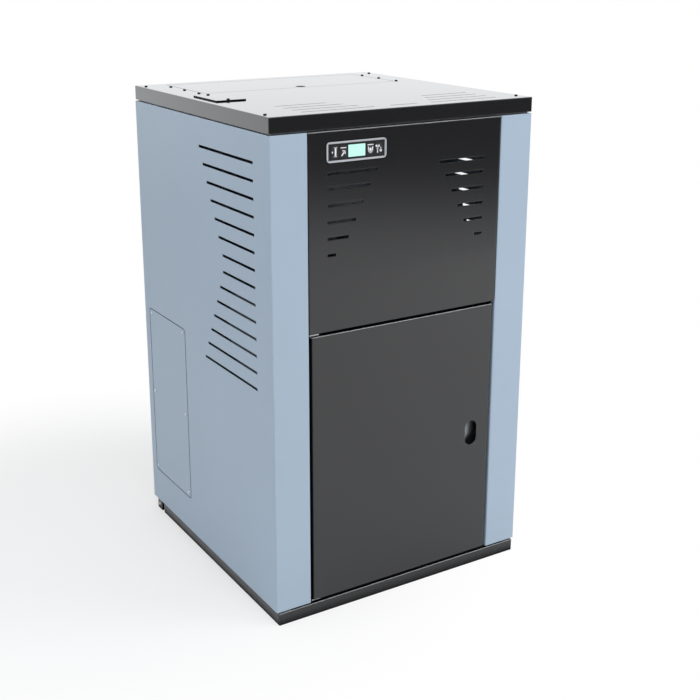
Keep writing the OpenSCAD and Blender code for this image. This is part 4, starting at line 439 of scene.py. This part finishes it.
# Insulation and firebox lining
# Mineral wool boards lie against the jacket; vermiculite boards line the firebox, pale
# and grainy, with patches of soot.
wool = new_finish("mineral_wool", cast_group,
    {"Colour": srgb(196, 184, 140), "Second Colour": srgb(176, 160, 112), "Grain": 600.0, "Depth": 0.9,
    "Patches": 30.0, "Roughness": 0.95})
vermiculite = new_finish("vermiculite_board", cast_group,
    {"Colour": srgb(190, 172, 140), "Second Colour": srgb(120, 104, 86), "Grain": 340.0, "Depth": 0.7,
    "Patches": 22.0, "Roughness": 0.92})
dress(wool, "insulation_jacket")
dress(vermiculite, "firebox_lining")


# Burner pot, igniter, firebox door, ash drawer
# The pot and the door are sand-cast iron; the igniter and the handle are plated steel;
# the ash drawer is folded galvanised sheet and the door's window is smoked ceramic glass.
plated_group, given, given_out = new_group("plated_metal",
    [("Colour", "NodeSocketColor", (0.6, 0.6, 0.6, 1)), ("Roughness", "NodeSocketFloat", 0.3),
    ("Lines", "NodeSocketFloat", 0.25), ("Stretch", "NodeSocketVector", (1200.0, 60.0, 1200.0))],
    [("Colour", "NodeSocketColor"), ("Roughness", "NodeSocketFloat"), ("Normal", "NodeSocketVector")])
where = add_node(plated_group, "ShaderNodeTexCoord")
stretch = add_node(plated_group, "ShaderNodeVectorMath", operation="MULTIPLY")
lines = add_node(plated_group, "ShaderNodeTexNoise", {"Scale": 1.0, "Detail": 3.0})
haze = add_node(plated_group, "ShaderNodeTexNoise", {"Scale": 45.0, "Detail": 3.0})
tone = add_node(plated_group, "ShaderNodeMapRange", {"To Min": 0.88, "To Max": 1.08})
tint = add_node(plated_group, "ShaderNodeVectorMath", operation="SCALE")
swing = add_node(plated_group, "ShaderNodeMapRange", {"To Min": 0.75, "To Max": 1.3})
rough = add_node(plated_group, "ShaderNodeMath", operation="MULTIPLY")
soft_edge = add_node(plated_group, "ShaderNodeBevel", {"Radius": 0.0005}, samples=4)
bump = add_node(plated_group, "ShaderNodeBump", {"Distance": 0.0002})
join(plated_group, (where, "Object", stretch, 0), (given, "Stretch", stretch, 1),
    (stretch, 0, lines, "Vector"), (where, "Object", haze, "Vector"), (haze, "Fac", tone, "Value"),
    (given, "Colour", tint, 0), (tone, 0, tint, "Scale"), (tint, 0, given_out, "Colour"),
    (lines, "Fac", swing, "Value"), (given, "Roughness", rough, 0), (swing, 0, rough, 1),
    (rough, 0, given_out, "Roughness"), (soft_edge, 0, bump, "Normal"),
    (given, "Lines", bump, "Strength"), (lines, "Fac", bump, "Height"), (bump, 0, given_out, "Normal"))
iron = new_finish("cast_iron", cast_group,
    {"Colour": srgb(62, 60, 58), "Second Colour": srgb(48, 45, 43), "Grain": 300.0, "Depth": 0.6,
    "Patches": 18.0, "Roughness": 0.68}, Metallic=0.4)
plated = new_finish("plated_steel", plated_group,
    {"Colour": srgb(198, 200, 204), "Roughness": 0.26, "Lines": 0.12}, Metallic=1.0)
smoked_glass = bpy.data.materials.new("smoked_glass")
smoked_glass.use_nodes = True
tree = smoked_glass.node_tree
bsdf = tree.nodes["Principled BSDF"]
bsdf.inputs["Transmission Weight"].default_value = 0.9
bsdf.inputs["IOR"].default_value = 1.52
where = add_node(tree, "ShaderNodeTexCoord")
film = add_node(tree, "ShaderNodeTexNoise", {"Scale": 12.0, "Detail": 5.0})
brown = add_node(tree, "ShaderNodeMix", {"A": srgb(120, 96, 74), "B": srgb(74, 58, 46)}, data_type="RGBA")
veil = add_node(tree, "ShaderNodeMapRange", {"To Min": 0.04, "To Max": 0.25})
join(tree, (where, "Object", film, "Vector"), (film, "Fac", brown, "Factor"),
    (brown, "Result", bsdf, "Base Color"), (film, "Fac", veil, "Value"), (veil, 0, bsdf, "Roughness"))
dress(iron, "burner_pot", "firebox_door")
dress(plated, "igniter", "firebox_handle")
dress(smoked_glass, "firebox_glass")
dress(zinc, "ash_drawer")


# Scraper and turbulators
# A flat-bar comb hangs twelve twisted strips in the smoke tubes; its rod comes up
# under the service plate and is pulled by a knob. Plated steel, dulled by heat.
heat_dulled = new_finish("heat_dulled_steel", plated_group,
    {"Colour": srgb(150, 146, 142), "Roughness": 0.42, "Lines": 0.2}, Metallic=1.0)
dress(heat_dulled, "scraper_frame", "turbulators")


# Fan, flue duct and air pipe
# The scroll, the flue box with its spigot and the air pipe are seam-welded galvanised
# sheet; the impeller is plated and the motor is a black-painted can.
motor_black = new_finish("motor_can", coat_group,
    {"Colour": srgb(44, 45, 48), "Roughness": 0.42, "Peel": 0.08, "Size": 1200.0, "Edge": 0.0006})
dress(zinc, "fan_housing", "flue_duct", "air_intake_pipe")
dress(plated, "fan_impeller")
dress(motor_black, "fan_motor")


# Expansion vessel, pump, pipes and valves
# Pressed steel vessel in grey paint, a green-painted iron pump, drawn copper tube,
# and turned brass for the safety valve and the drain cock with its red lever.
vessel_grey = new_finish("vessel_grey", coat_group,
    {"Colour": srgb(150, 154, 158), "Roughness": 0.38, "Peel": 0.08, "Size": 520.0, "Edge": 0.001})
pump_green = new_finish("pump_green", cast_group,
    {"Colour": srgb(42, 92, 66), "Second Colour": srgb(38, 82, 60), "Grain": 300.0, "Depth": 0.3,
    "Roughness": 0.45})
copper = new_finish("drawn_copper", plated_group,
    {"Colour": srgb(205, 128, 92), "Roughness": 0.3, "Lines": 0.1, "Stretch": (500.0, 40.0, 500.0)},
    Metallic=1.0)
brass = new_finish("turned_brass", plated_group,
    {"Colour": srgb(204, 172, 98), "Roughness": 0.24, "Lines": 0.1}, Metallic=1.0)
plastic_group, given, given_out = new_group("moulded_plastic",
    [("Colour", "NodeSocketColor", (0.5, 0.5, 0.5, 1)), ("Roughness", "NodeSocketFloat", 0.45),
    ("Texture", "NodeSocketFloat", 0.15), ("Size", "NodeSocketFloat", 2600.0)],
    [("Colour", "NodeSocketColor"), ("Roughness", "NodeSocketFloat"), ("Normal", "NodeSocketVector")])
where = add_node(plastic_group, "ShaderNodeTexCoord")
spark = add_node(plastic_group, "ShaderNodeTexVoronoi")
cloud = add_node(plastic_group, "ShaderNodeTexNoise", {"Scale": 25.0, "Detail": 2.0})
tone = add_node(plastic_group, "ShaderNodeMapRange", {"To Min": 0.95, "To Max": 1.05})
tint = add_node(plastic_group, "ShaderNodeVectorMath", operation="SCALE")
rough = add_node(plastic_group, "ShaderNodeMath", operation="MULTIPLY")
soft_edge = add_node(plastic_group, "ShaderNodeBevel", {"Radius": 0.0004}, samples=4)
bump = add_node(plastic_group, "ShaderNodeBump", {"Distance": 0.0001})
join(plastic_group, (where, "Object", spark, "Vector"), (given, "Size", spark, "Scale"),
    (where, "Object", cloud, "Vector"), (cloud, "Fac", tone, "Value"), (given, "Colour", tint, 0),
    (tone, 0, tint, "Scale"), (tint, 0, given_out, "Colour"), (given, "Roughness", rough, 0),
    (tone, 0, rough, 1), (rough, 0, given_out, "Roughness"), (soft_edge, 0, bump, "Normal"),
    (given, "Texture", bump, "Strength"), (spark, "Distance", bump, "Height"),
    (bump, 0, given_out, "Normal"))
red_plastic = new_finish("red_plastic", plastic_group, {"Colour": srgb(176, 34, 30), "Roughness": 0.35})
dress(vessel_grey, "expansion_vessel")
dress(pump_green, "circulation_pump")
dress(copper, "water_pipes")
dress(brass, "safety_valve", "drain_cock")
dress(red_plastic, "drain_lever")


def turned(form, profile, at, axis, steps=48):
    """Adds a body of revolution: profile is a list of (radius, distance along the axis)."""
    axis = Vector(axis).normalized()
    bridge(form, [ring(form, Vector(at) + axis * along, axis, radius, steps if radius else 1)
        for radius, along in profile])


def hexagon(form, at, axis, across, length, bore=0.0):
    """Adds a hexagon nut or head with turned chamfers."""
    at, axis = Vector(at), Vector(axis).normalized()
    corner, cut, worn = across / math.sqrt(3), across * 0.03, 0.93
    rings = [ring(form, at + axis * along, axis, corner * grow, 6)
        for along, grow in ((0, worn), (cut, 1.0), (length - cut, 1.0), (length, worn))]
    if bore:
        rings = [ring(form, at, axis, bore, 6)] + rings + [ring(form, at + axis * length, axis, bore, 6)]
    else:
        form.faces.new(rings[0])
        form.faces.new(rings[-1])
    bridge(form, rings)


def screw_thread(form, at, axis, radius, length, rise, depth, steps=40, taper=12):
    """Adds a helical ridge with tapered ends round a cylinder."""
    axis = Vector(axis).normalized()
    side = axis.orthogonal().normalized()
    other = axis.cross(side)
    count = int(length / rise * steps)
    root, flank = radius - 0.0004, axis * rise * 0.42
    last = None
    for i in range(count + 1):
        angle, along = math.tau * i / steps, length * i / count
        out = side * math.cos(angle) + other * math.sin(angle)
        high = depth * min(1, i / taper, (count - i) / taper)
        base = Vector(at) + axis * along
        spots = (base + out * root - flank, base + out * (radius + high), base + out * root + flank)
        row = [form.verts.new(spot) for spot in spots]
        if last:
            for k in range(2):
                form.faces.new((last[k], last[k + 1], row[k + 1], row[k]))
        last = row


# water nipples of the flow and the return, with their pipe threads and lock nuts
rearward = (0, 1, 0)
casing_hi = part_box("left_side_panel")[1]
pipes_lo, pipes_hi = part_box("water_pipes")
pipe_r, nipple_r = 0.0132, 0.0131
nipple_x = pipes_lo.x + pipe_r
flow_z, return_z = body_hi.z - 0.045, jacket_low + 0.085
threads, lock_nuts = bmesh.new(), bmesh.new()
for z in (flow_z, return_z):
    screw_thread(threads, (nipple_x, pipes_hi.y - 0.0215, z), rearward, nipple_r, length=0.0195,
        rise=0.00181, depth=0.0004)
    hexagon(lock_nuts, (nipple_x, casing_hi.y + 0.0004, z), rearward, across=0.034, length=0.007,
        bore=nipple_r - 0.0002)
place("nipple_threads", threads, copper, "root")
place("nipple_lock_nuts", lock_nuts, brass, "root")

# union nuts at the pump's two ends and where the pipes meet the jacket's bosses
pump_lo, pump_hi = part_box("circulation_pump")
flow_y, return_y = body_hi.y - 0.060, jacket_front + 0.135
form = bmesh.new()
for y in (pump_lo.y - 0.0135, pump_hi.y + 0.0005):
    hexagon(form, (nipple_x, y, return_z), rearward, across=0.037, length=0.013, bore=0.0128)
for y, z in ((flow_y, flow_z), (return_y, return_z)):
    hexagon(form, (body_lo.x - 0.0114, y, z), (1, 0, 0), across=0.035, length=0.011, bore=0.0122)
place("pump_union_nuts", form, brass, "root")

# bleed plug in the middle of the pump's motor
plug_r, socket_r, sunk = 0.0085, 0.002, 0.0004
form = bmesh.new()
turned(form, [(0.0, -sunk), (plug_r, -sunk), (plug_r, 0.0012), (0.007, 0.0022), (socket_r, 0.0022),
    (socket_r, 0.001), (0.0, 0.001)], (pump_lo.x + sunk, (pump_lo.y + pump_hi.y) / 2, return_z),
    (-1, 0, 0))
place("pump_bleed_plug", form, brass, "root")

# rolled seam and the air valve's cap of the expansion vessel
vessel_lo, vessel_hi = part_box("expansion_vessel")
vessel_mid, vessel_r = (vessel_lo + vessel_hi) / 2, (vessel_hi.z - vessel_lo.z) / 2
seam_x, seam_half = vessel_lo.x + 0.052, 0.006
form = bmesh.new()
turned(form, [(vessel_r - 0.002, -seam_half), (vessel_r + 0.0006, -0.005), (vessel_r + 0.0014, 0.0),
    (vessel_r + 0.0006, 0.005), (vessel_r - 0.002, seam_half)], (seam_x, vessel_mid.y, vessel_mid.z),
    (1, 0, 0), 96)
place("vessel_seam", form, vessel_grey, "root")
skirt_r, cap_r = 0.0105, 0.0085
form = bmesh.new()
turned(form, [(0.0, -0.001), (skirt_r, -0.001), (skirt_r, 0.002), (cap_r, 0.0026), (cap_r, 0.012),
    (0.0075, 0.0135), (0.0, 0.0138)], (vessel_hi.x, vessel_mid.y, vessel_mid.z), (1, 0, 0))
place("vessel_valve_cap", form, brass, "root")


# Motor fins and end caps
# Turned cooling fins stand round the black cans of the two motors; the end cap is pressed
# into the can's end and held by four small hexagon screws.
def end_circle(node, beyond):
    """Centre and radius, in x and z, of what a node shows behind y = beyond."""
    spots = [v.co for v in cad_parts[node].data.vertices if v.co.y > beyond]
    low_x, high_x = min(p.x for p in spots), max(p.x for p in spots)
    low_z, high_z = min(p.z for p in spots), max(p.z for p in spots)
    return (low_x + high_x) / 2, (low_z + high_z) / 2, (high_x - low_x) / 2


fins, caps = bmesh.new(), bmesh.new()
for node, first, count, pitch, reach in (("fan_motor", 0.052, 9, 0.0048, 0.66),
        ("auger_motor", 0.022, 4, 0.0046, 0.62)):
    end_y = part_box(node)[1].y
    x, z, can_r = end_circle(node, end_y - 0.0005)
    root_r, fin_r, cap_r = can_r - 0.0006, can_r + 0.0018, can_r * 0.3
    for k in range(count):
        turned(fins, [(root_r, 0.0), (fin_r - 0.0002, 0.0002), (fin_r, 0.0008), (fin_r - 0.0002, 0.0014),
            (root_r, 0.0016)], (x, end_y - first + k * pitch, z), rearward, 64)
    turned(caps, [(0.0, -0.0004), (cap_r, -0.0004), (cap_r, 0.0012), (cap_r * 0.8, 0.0018),
        (0.0, 0.0018)], (x, end_y, z), rearward)
    for k in range(4):
        angle = math.tau * (k + 0.5) / 4
        away_x, away_z = can_r * reach * math.cos(angle), can_r * reach * math.sin(angle)
        hexagon(caps, (x + away_x, end_y - 0.0002, z + away_z), rearward, across=0.0055, length=0.0022)
place("motor_fins", fins, motor_black, "root")
place("motor_end_screws", caps, plated, "root")


# Fire door fasteners
# Domed steel screws hold the glass frame, a coil of steel wire keeps the handle's grip cool,
# and a turned washer lies under each post of the ash drawer's pull.
def coil(form, at, radius, wire, length, turns, steps=18):
    """Adds an upright helix of round wire."""
    count, up = turns * steps, Vector((0, 0, 1))
    rings = []
    for i in range(count + 1):
        angle = math.tau * i / steps
        out = Vector((math.cos(angle), math.sin(angle), 0))
        centre = Vector(at) + out * radius + up * (length * i / count)
        rings.append([form.verts.new(centre + (out * math.cos(a) + up * math.sin(a)) * wire)
            for a in (math.tau * k / 8 for k in range(8))])
    bridge(form, rings)


def domed_screw(form, at, axis, radius):
    """Adds a button head with a socket in its middle."""
    turned(form, [(radius, -0.0002), (radius, 0.0003), (radius * 0.86, 0.0011), (radius * 0.5, 0.0016),
        (radius * 0.42, 0.0016), (radius * 0.38, 0.0006), (0.0, 0.0006)], at, axis, 24)


forward = (0, -1, 0)
glass_lo, glass_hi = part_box("firebox_glass")
glass_frame_y = glass_lo.y - 0.011
form = bmesh.new()
for x in (glass_lo.x, glass_hi.x):
    for z in (glass_lo.z, (glass_lo.z + glass_hi.z) / 2, glass_hi.z):
        domed_screw(form, (x, glass_frame_y, z), forward, 0.0042)
place("glass_frame_screws", form, plated, "firebox_door")
handle_lo, handle_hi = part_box("firebox_handle")
grip = ((handle_lo.x + handle_hi.x) / 2, handle_lo.y + 0.007, handle_lo.z + 0.002)
form = bmesh.new()
coil(form, grip, radius=0.0071, wire=0.0007, length=0.056, turns=22)
place("handle_coil", form, plated, "firebox_handle")
drawer_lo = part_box("ash_drawer")[0]
post_x, post_r, washer_r, face_y = 0.045, 0.0038, 0.0092, drawer_lo.y + 0.0268
pull_z = [v.co.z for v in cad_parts["ash_drawer"].data.vertices if v.co.y < drawer_lo.y + 0.008]
form = bmesh.new()
for x in (-post_x, post_x):
    turned(form, [(post_r, 0.0), (washer_r, 0.0), (washer_r, 0.0008), (0.008, 0.0014), (post_r, 0.0014)],
        (x, face_y, (min(pull_z) + max(pull_z)) / 2), forward, 32)
place("pull_washers", form, plated, "ash_drawer")


# Hopper, auger and feed chute
# Galvanised bin with a funnel of four welded panels under it; the auger tube, its screw and
# the chute are plated steel, and the gear motor is cast and painted black.
dress(zinc, "hopper", "hopper_funnel", "hopper_collar")
dress(plated, "auger_tube", "auger_screw", "feed_chute")
dress(motor_black, "auger_motor")
seal_rubber = new_finish("seal_rubber", plastic_group,
    {"Colour": srgb(34, 34, 36), "Roughness": 0.8, "Texture": 0.3, "Size": 1500.0})
dress(seal_rubber, "lid_gasket")


def hex_screw(form, at, axis, across=0.008, flange=0.0062):
    """Adds a hexagon head with a pressed washer under it."""
    turned(form, [(0.0, -0.0003), (flange, -0.0003), (flange, 0.0004), (flange * 0.86, 0.0009),
        (0.0, 0.0009)], at, axis, 24)
    hexagon(form, Vector(at) + Vector(axis).normalized() * 0.0007, axis, across, across * 0.4)


def pop_rivet(form, at, axis, radius, crown, hole, high):
    """Adds a pop rivet's head with the hole that its pin leaves."""
    turned(form, [(radius, -0.0002), (radius, 0.0003), (crown, high - 0.0002), (hole, high),
        (hole, 0.0008), (0.0, 0.0008)], at, axis, 20)


# bolts that hold the funnel's flange on the auger tube
funnel_lo, funnel_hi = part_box("hopper_funnel")
funnel_y, bolt_x, bolt_pitch = (funnel_lo.y + funnel_hi.y) / 2, 0.0372, 0.068
form = bmesh.new()
for x in (-bolt_x, bolt_x):
    for y in (funnel_y - bolt_pitch, funnel_y, funnel_y + bolt_pitch):
        hexagon(form, (x, y, funnel_lo.z + 0.0015), (0, 0, 1), across=0.0055, length=0.0032)
place("flange_bolts", form, plated, "root")

# pop rivets that close the bin's corners, seen from inside under the lid
bin_lo, bin_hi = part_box("hopper")
rivet_x, rivet_heights, bin_wall = 0.255, (0.99, 1.05, 1.11, 1.165), 0.0015
form = bmesh.new()
for z in rivet_heights:
    for x in (-rivet_x, rivet_x):
        for y, way in ((bin_lo.y + bin_wall, rearward), (bin_hi.y - bin_wall, forward)):
            pop_rivet(form, (x, y, z), way, radius=0.0034, crown=0.0024, hole=0.0009, high=0.0013)
place("bin_rivets", form, zinc, "root")


# Control unit, mains inlet and switch
# Moulded black housings screwed to the rear panel: the control unit inside, the
# three-pole inlet and the rocker switch outside.
dark_plastic = new_finish("dark_plastic", plastic_group,
    {"Colour": srgb(38, 38, 41), "Roughness": 0.5, "Texture": 0.25})
dress(dark_plastic, "control_unit", "power_inlet")
dress(red_plastic, "power_switch")


# Casing: side panels, access covers, rear panel and screws
# Folded 1.5 mm sheet, powder coated in satin blue-grey at the sides with the front
# pilasters folded in one; the rear panel stays galvanised; the screws are bright zinc.
# the side panels get a painted highlight along their top edges and painted shade in their creases
blue_coat = new_finish("blue_grey_coat", coat_group,
    {"Colour": srgb(168, 186, 204), "Roughness": 0.36, "Peel": 0.05, "Size": 520.0, "Edge": 0.0018,
    "Rim": 0.5, "Rim Height": casing_hi.z}, IOR=1.5)
dress(blue_coat, "left_side_panel", "right_side_panel", "access_covers")
dress(zinc, "rear_panel")
bright_zinc = new_finish("bright_zinc", plated_group,
    {"Colour": srgb(240, 242, 244), "Roughness": 0.34, "Lines": 0.05}, Metallic=1.0)
dress(bright_zinc, "panel_screws")

# dark rubber strips round each access cover, put where the recessed joint lies in shade: a dark strip as
# painted shade
form = bmesh.new()
cover_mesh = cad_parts["access_covers"].data
for side in (-1, 1):
    face_x = max(v.co.x * side for v in cover_mesh.vertices)
    edge = [(v.co.y, v.co.z) for v in cover_mesh.vertices if v.co.x * side > face_x - 0.0001]
    edge = [edge[k] for k in convex_hull_2d(edge)]
    rows = []
    section = [(-0.0007, -0.0006), (-0.0007, 0.0002), (0.0014, 0.0002), (0.0014, -0.0006)]
    for k, (y, z) in enumerate(edge):
        before, after = edge[k - 1], edge[(k + 1) % len(edge)]
        away = Vector((after[1] - before[1], before[0] - after[0])).normalized()
        rows.append([form.verts.new((side * (face_x + rise), y + away.x * wide, z + away.y * wide))
            for wide, rise in section])
    bridge(form, rows + rows[:1])
place("access_shade_strips", form, seal_rubber, "root")

# hexagon screws round the rear panel, and the earth screw beside the mains inlet
back = casing_hi.y
edge_x, inner_x, mid_z, screw_pitch = 0.343, 0.17, 0.600, 0.270
heights = [mid_z + k * screw_pitch for k in range(-2, 3)]
form = bmesh.new()
for x, z in ([(x, z) for x in (-edge_x, edge_x) for z in heights]
        + [(x, z) for x in (-inner_x, 0.0, inner_x) for z in (heights[0], heights[-1])]):
    hex_screw(form, (x, back, z), rearward)
place("rear_panel_screws", form, plated, "root")
inlet_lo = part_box("power_inlet")[0]
form = bmesh.new()
hex_screw(form, (inlet_lo.x - 0.026, back, inlet_lo.z + 0.017), rearward, across=0.007, flange=0.0078)
place("earth_screw", form, brass, "root")

# pressed rosettes that close the holes round the flue and air spigots
form = bmesh.new()
for node, wide in (("flue_duct", 0.016), ("air_intake_pipe", 0.011)):
    x, z, pipe_r = end_circle(node, back + 0.004)
    bore_r, outer_r = pipe_r + 0.0003, pipe_r + wide
    turned(form, [(bore_r, 0.0002), (bore_r, 0.0042), (pipe_r + 0.0012, 0.0050),
        (pipe_r + 0.0026, 0.0044), (pipe_r + 0.0040, 0.0016), (outer_r - 0.001, 0.0011),
        (outer_r, 0.0003)], (x, back, z), rearward, 72)
place("pipe_rosettes", form, zinc, "root")


# Front panel, top cover and service plate
# Folded sheet, powder coated in glossy black like the base; the cover, the service plate
# and the hopper's lid have a smoother coat, and dark screws hold the cover.
dress(black_coat("front_panel"), "front_panel")
dress(cover_coat, "top_cover", "service_plate", "hopper_lid")
dress(matt_black, "cover_screws")


# Control console
# Moulded bezel with a pale rim, a lit liquid-crystal window and four push buttons,
# snapped into the front panel; the board lies behind it.
bezel_plastic = new_finish("bezel_plastic", plastic_group,
    {"Colour": srgb(30, 30, 33), "Roughness": 0.3, "Texture": 0.08})
bezel_lo, bezel_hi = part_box("console_bezel")
tree = bezel_plastic.node_tree
bsdf = tree.nodes["Principled BSDF"]
where = add_node(tree, "ShaderNodeTexCoord")
axes = add_node(tree, "ShaderNodeSeparateXYZ")
proud = add_node(tree, "ShaderNodeMapRange",
    {"From Min": bezel_lo.y + 0.0007, "From Max": bezel_lo.y + 0.0004})
rim = add_node(tree, "ShaderNodeMix", {"B": srgb(190, 192, 198)}, data_type="RGBA")
rim_w = 0.0042
bezel_mid, bezel_half = (bezel_lo + bezel_hi) / 2, (bezel_hi - bezel_lo) / 2
from_mid = add_node(tree, "ShaderNodeVectorMath", {1: bezel_mid}, operation="SUBTRACT")
off_mid = add_node(tree, "ShaderNodeVectorMath", operation="ABSOLUTE")
sides = add_node(tree, "ShaderNodeSeparateXYZ")
near_x = add_node(tree, "ShaderNodeMath", {1: bezel_half.x - rim_w}, operation="SUBTRACT")
near_z = add_node(tree, "ShaderNodeMath", {1: bezel_half.z - rim_w}, operation="SUBTRACT")
near = add_node(tree, "ShaderNodeMath", operation="MAXIMUM")
band = add_node(tree, "ShaderNodeMapRange", {"From Min": -0.0002, "From Max": 0.0002})
pale = add_node(tree, "ShaderNodeMath", operation="MAXIMUM")
tree.links.new(bsdf.inputs["Base Color"].links[0].from_socket, rim.inputs["A"])
join(tree, (where, "Object", axes, 0), (axes, "Y", proud, "Value"), (where, "Object", from_mid, 0),
    (from_mid, 0, off_mid, 0), (off_mid, 0, sides, 0), (sides, "X", near_x, 0), (sides, "Z", near_z, 0),
    (near_x, 0, near, 0), (near_z, 0, near, 1), (near, 0, band, "Value"), (proud, 0, pale, 0),
    (band, 0, pale, 1), (pale, 0, rim, "Factor"), (rim, "Result", bsdf, "Base Color"))
lit_window = bpy.data.materials.new("lit_window")
lit_window.use_nodes = True
tree = lit_window.node_tree
bsdf = tree.nodes["Principled BSDF"]
bsdf.inputs["Roughness"].default_value = 0.12
bsdf.inputs["Emission Strength"].default_value = 0.36
where = add_node(tree, "ShaderNodeTexCoord")
even = add_node(tree, "ShaderNodeTexNoise", {"Scale": 40.0, "Detail": 1.0})
mint = add_node(tree, "ShaderNodeMix", {"A": srgb(176, 226, 212), "B": srgb(184, 233, 220)},
    data_type="RGBA")
join(tree, (where, "Object", even, "Vector"), (even, "Fac", mint, "Factor"),
    (mint, "Result", bsdf, "Base Color"), (mint, "Result", bsdf, "Emission Color"))
button_plastic = new_finish("button_plastic", plastic_group,
    {"Colour": srgb(40, 40, 44), "Roughness": 0.42})
green_board = new_finish("solder_resist", plastic_group, {"Colour": srgb(28, 92, 56), "Roughness": 0.35})
dress(bezel_plastic, "console_bezel")
dress(lit_window, "display_window")
dress(green_board, "console_board")
dress(button_plastic, "button_1", "button_2", "button_3", "button_4")

# printed marks on the buttons, in thin white ink: radiator, arrow, fire bowl, fan with a drop
white_ink = new_finish("white_ink", plastic_group,
    {"Colour": srgb(232, 232, 238), "Roughness": 0.5, "Texture": 0.05})
ink_t = 0.00012


def stroke(form, points, wide, y, overrun=0.35):
    """A flat line of ink through points (x, z) on a face at y."""
    for (x0, z0), (x1, z1) in zip(points, points[1:]):
        along = Vector((x1 - x0, 0, z1 - z0))
        side = Vector((-along.z, 0, along.x)).normalized() * wide / 2
        grow = along.normalized() * wide * overrun
        a, b = Vector((x0, y, z0)) - grow, Vector((x1, y, z1)) + grow
        low = [form.verts.new(p) for p in (a + side, b + side, b - side, a - side)]
        high = [form.verts.new(v.co - Vector((0, ink_t, 0))) for v in low]
        form.faces.new(high)
        for k in range(4):
            form.faces.new((low[k], low[(k + 1) % 4], high[(k + 1) % 4], high[k]))


def spot(form, x, z, radius, y, stretch, steps=20):
    """A round or tall dot of ink at (x, z) on a face at y."""
    low = [form.verts.new((x + radius * math.cos(a), y, z + radius * stretch * math.sin(a)))
        for a in (math.tau * k / steps for k in range(steps))]
    high = [form.verts.new(v.co - Vector((0, ink_t, 0))) for v in low]
    form.faces.new(high)
    for k in range(steps):
        form.faces.new((low[k], low[(k + 1) % steps], high[(k + 1) % steps], high[k]))


# each mark is its strokes, as (width, points), and its dots, as (across, up, radius, stretch), on
# a fine grid about the button's middle
radiator = ([(3.6, [(1.6, -8), (1.6, 8)]), (1.4, [(-1.4, 8.4), (4.6, 8.4)]),
    (1.4, [(-1.4, -8.4), (4.6, -8.4)])], [(-5.2, 0, 1.1, 1.7)])
elbow = [(-1.6, 1.4), (3.8, 1.4), (3.8, -4.2)]
arrow = ([(1.8, [(-5.5, 7), (5.5, 7)]), (2.6, [(-3.6, -7.5), (3.6, 1.2)]), (2, elbow)], [])
bowl = [(-4.6, 3.6), (-4.2, -3.4), (-1.6, -6.8), (1.8, -6.8), (4.4, -3.4), (4.8, 3.6)]
fire_bowl = ([(1.8, [(-6, 8), (6, 8)]), (2.4, bowl)], [(0, -1.2, 2.6, 1.4)])
fan_x, fan_z, fan_r = -2.6, 3, 3.2
turns = [math.tau * k / 3 + 0.5 for k in range(3)]
blades = [(fan_x + fan_r * math.cos(a), fan_z + fan_r * math.sin(a), 2.1, 1) for a in turns]
fan_and_drop = ([(1.8, [(fan_x, fan_z), (fan_x, -8)]), (1.8, [(4.4, -3), (4.4, 1.6)])], blades
    + [(4.4, -4.2, 2.7, 1)])
grid = 0.00118
for number, (strokes, dots) in enumerate((radiator, arrow, fire_bowl, fan_and_drop), 1):
    lo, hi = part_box(f"button_{number}")
    x, z, y = (lo.x + hi.x) / 2, (lo.z + hi.z) / 2, lo.y + 0.00002
    form = bmesh.new()
    for wide, points in strokes:
        stroke(form, [(x + across * grid, z + up * grid) for across, up in points], wide * grid, y)
    for across, up, radius, stretch in dots:
        spot(form, x + across * grid, z + up * grid, radius * grid, y, stretch)
    place(f"button_{number}_mark", form, white_ink, f"button_{number}", smooth=False)


# Front door
# A folded black door with an oval finger hole and a galvanised liner behind it,
# hung on two plated pin hinges inside the left pilaster.
dress(black_coat("front_door"), "front_door")
dress(zinc, "door_liner")
dress(plated, "door_hinges")

# rivets that hold the liner in the door's fold
liner_lo, liner_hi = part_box("door_liner")
liner_mid, rivet_in = (liner_lo.z + liner_hi.z) / 2, 0.012
form = bmesh.new()
for x in (liner_lo.x + rivet_in, 0.0, liner_hi.x - rivet_in):
    for z in (liner_lo.z + rivet_in, liner_mid, liner_hi.z - rivet_in):
        if x or z != liner_mid:
            pop_rivet(form, (x, liner_hi.y, z), rearward, radius=0.0042, crown=0.003, hole=0.001,
                high=0.0014)
place("liner_rivets", form, plated, "front_door")
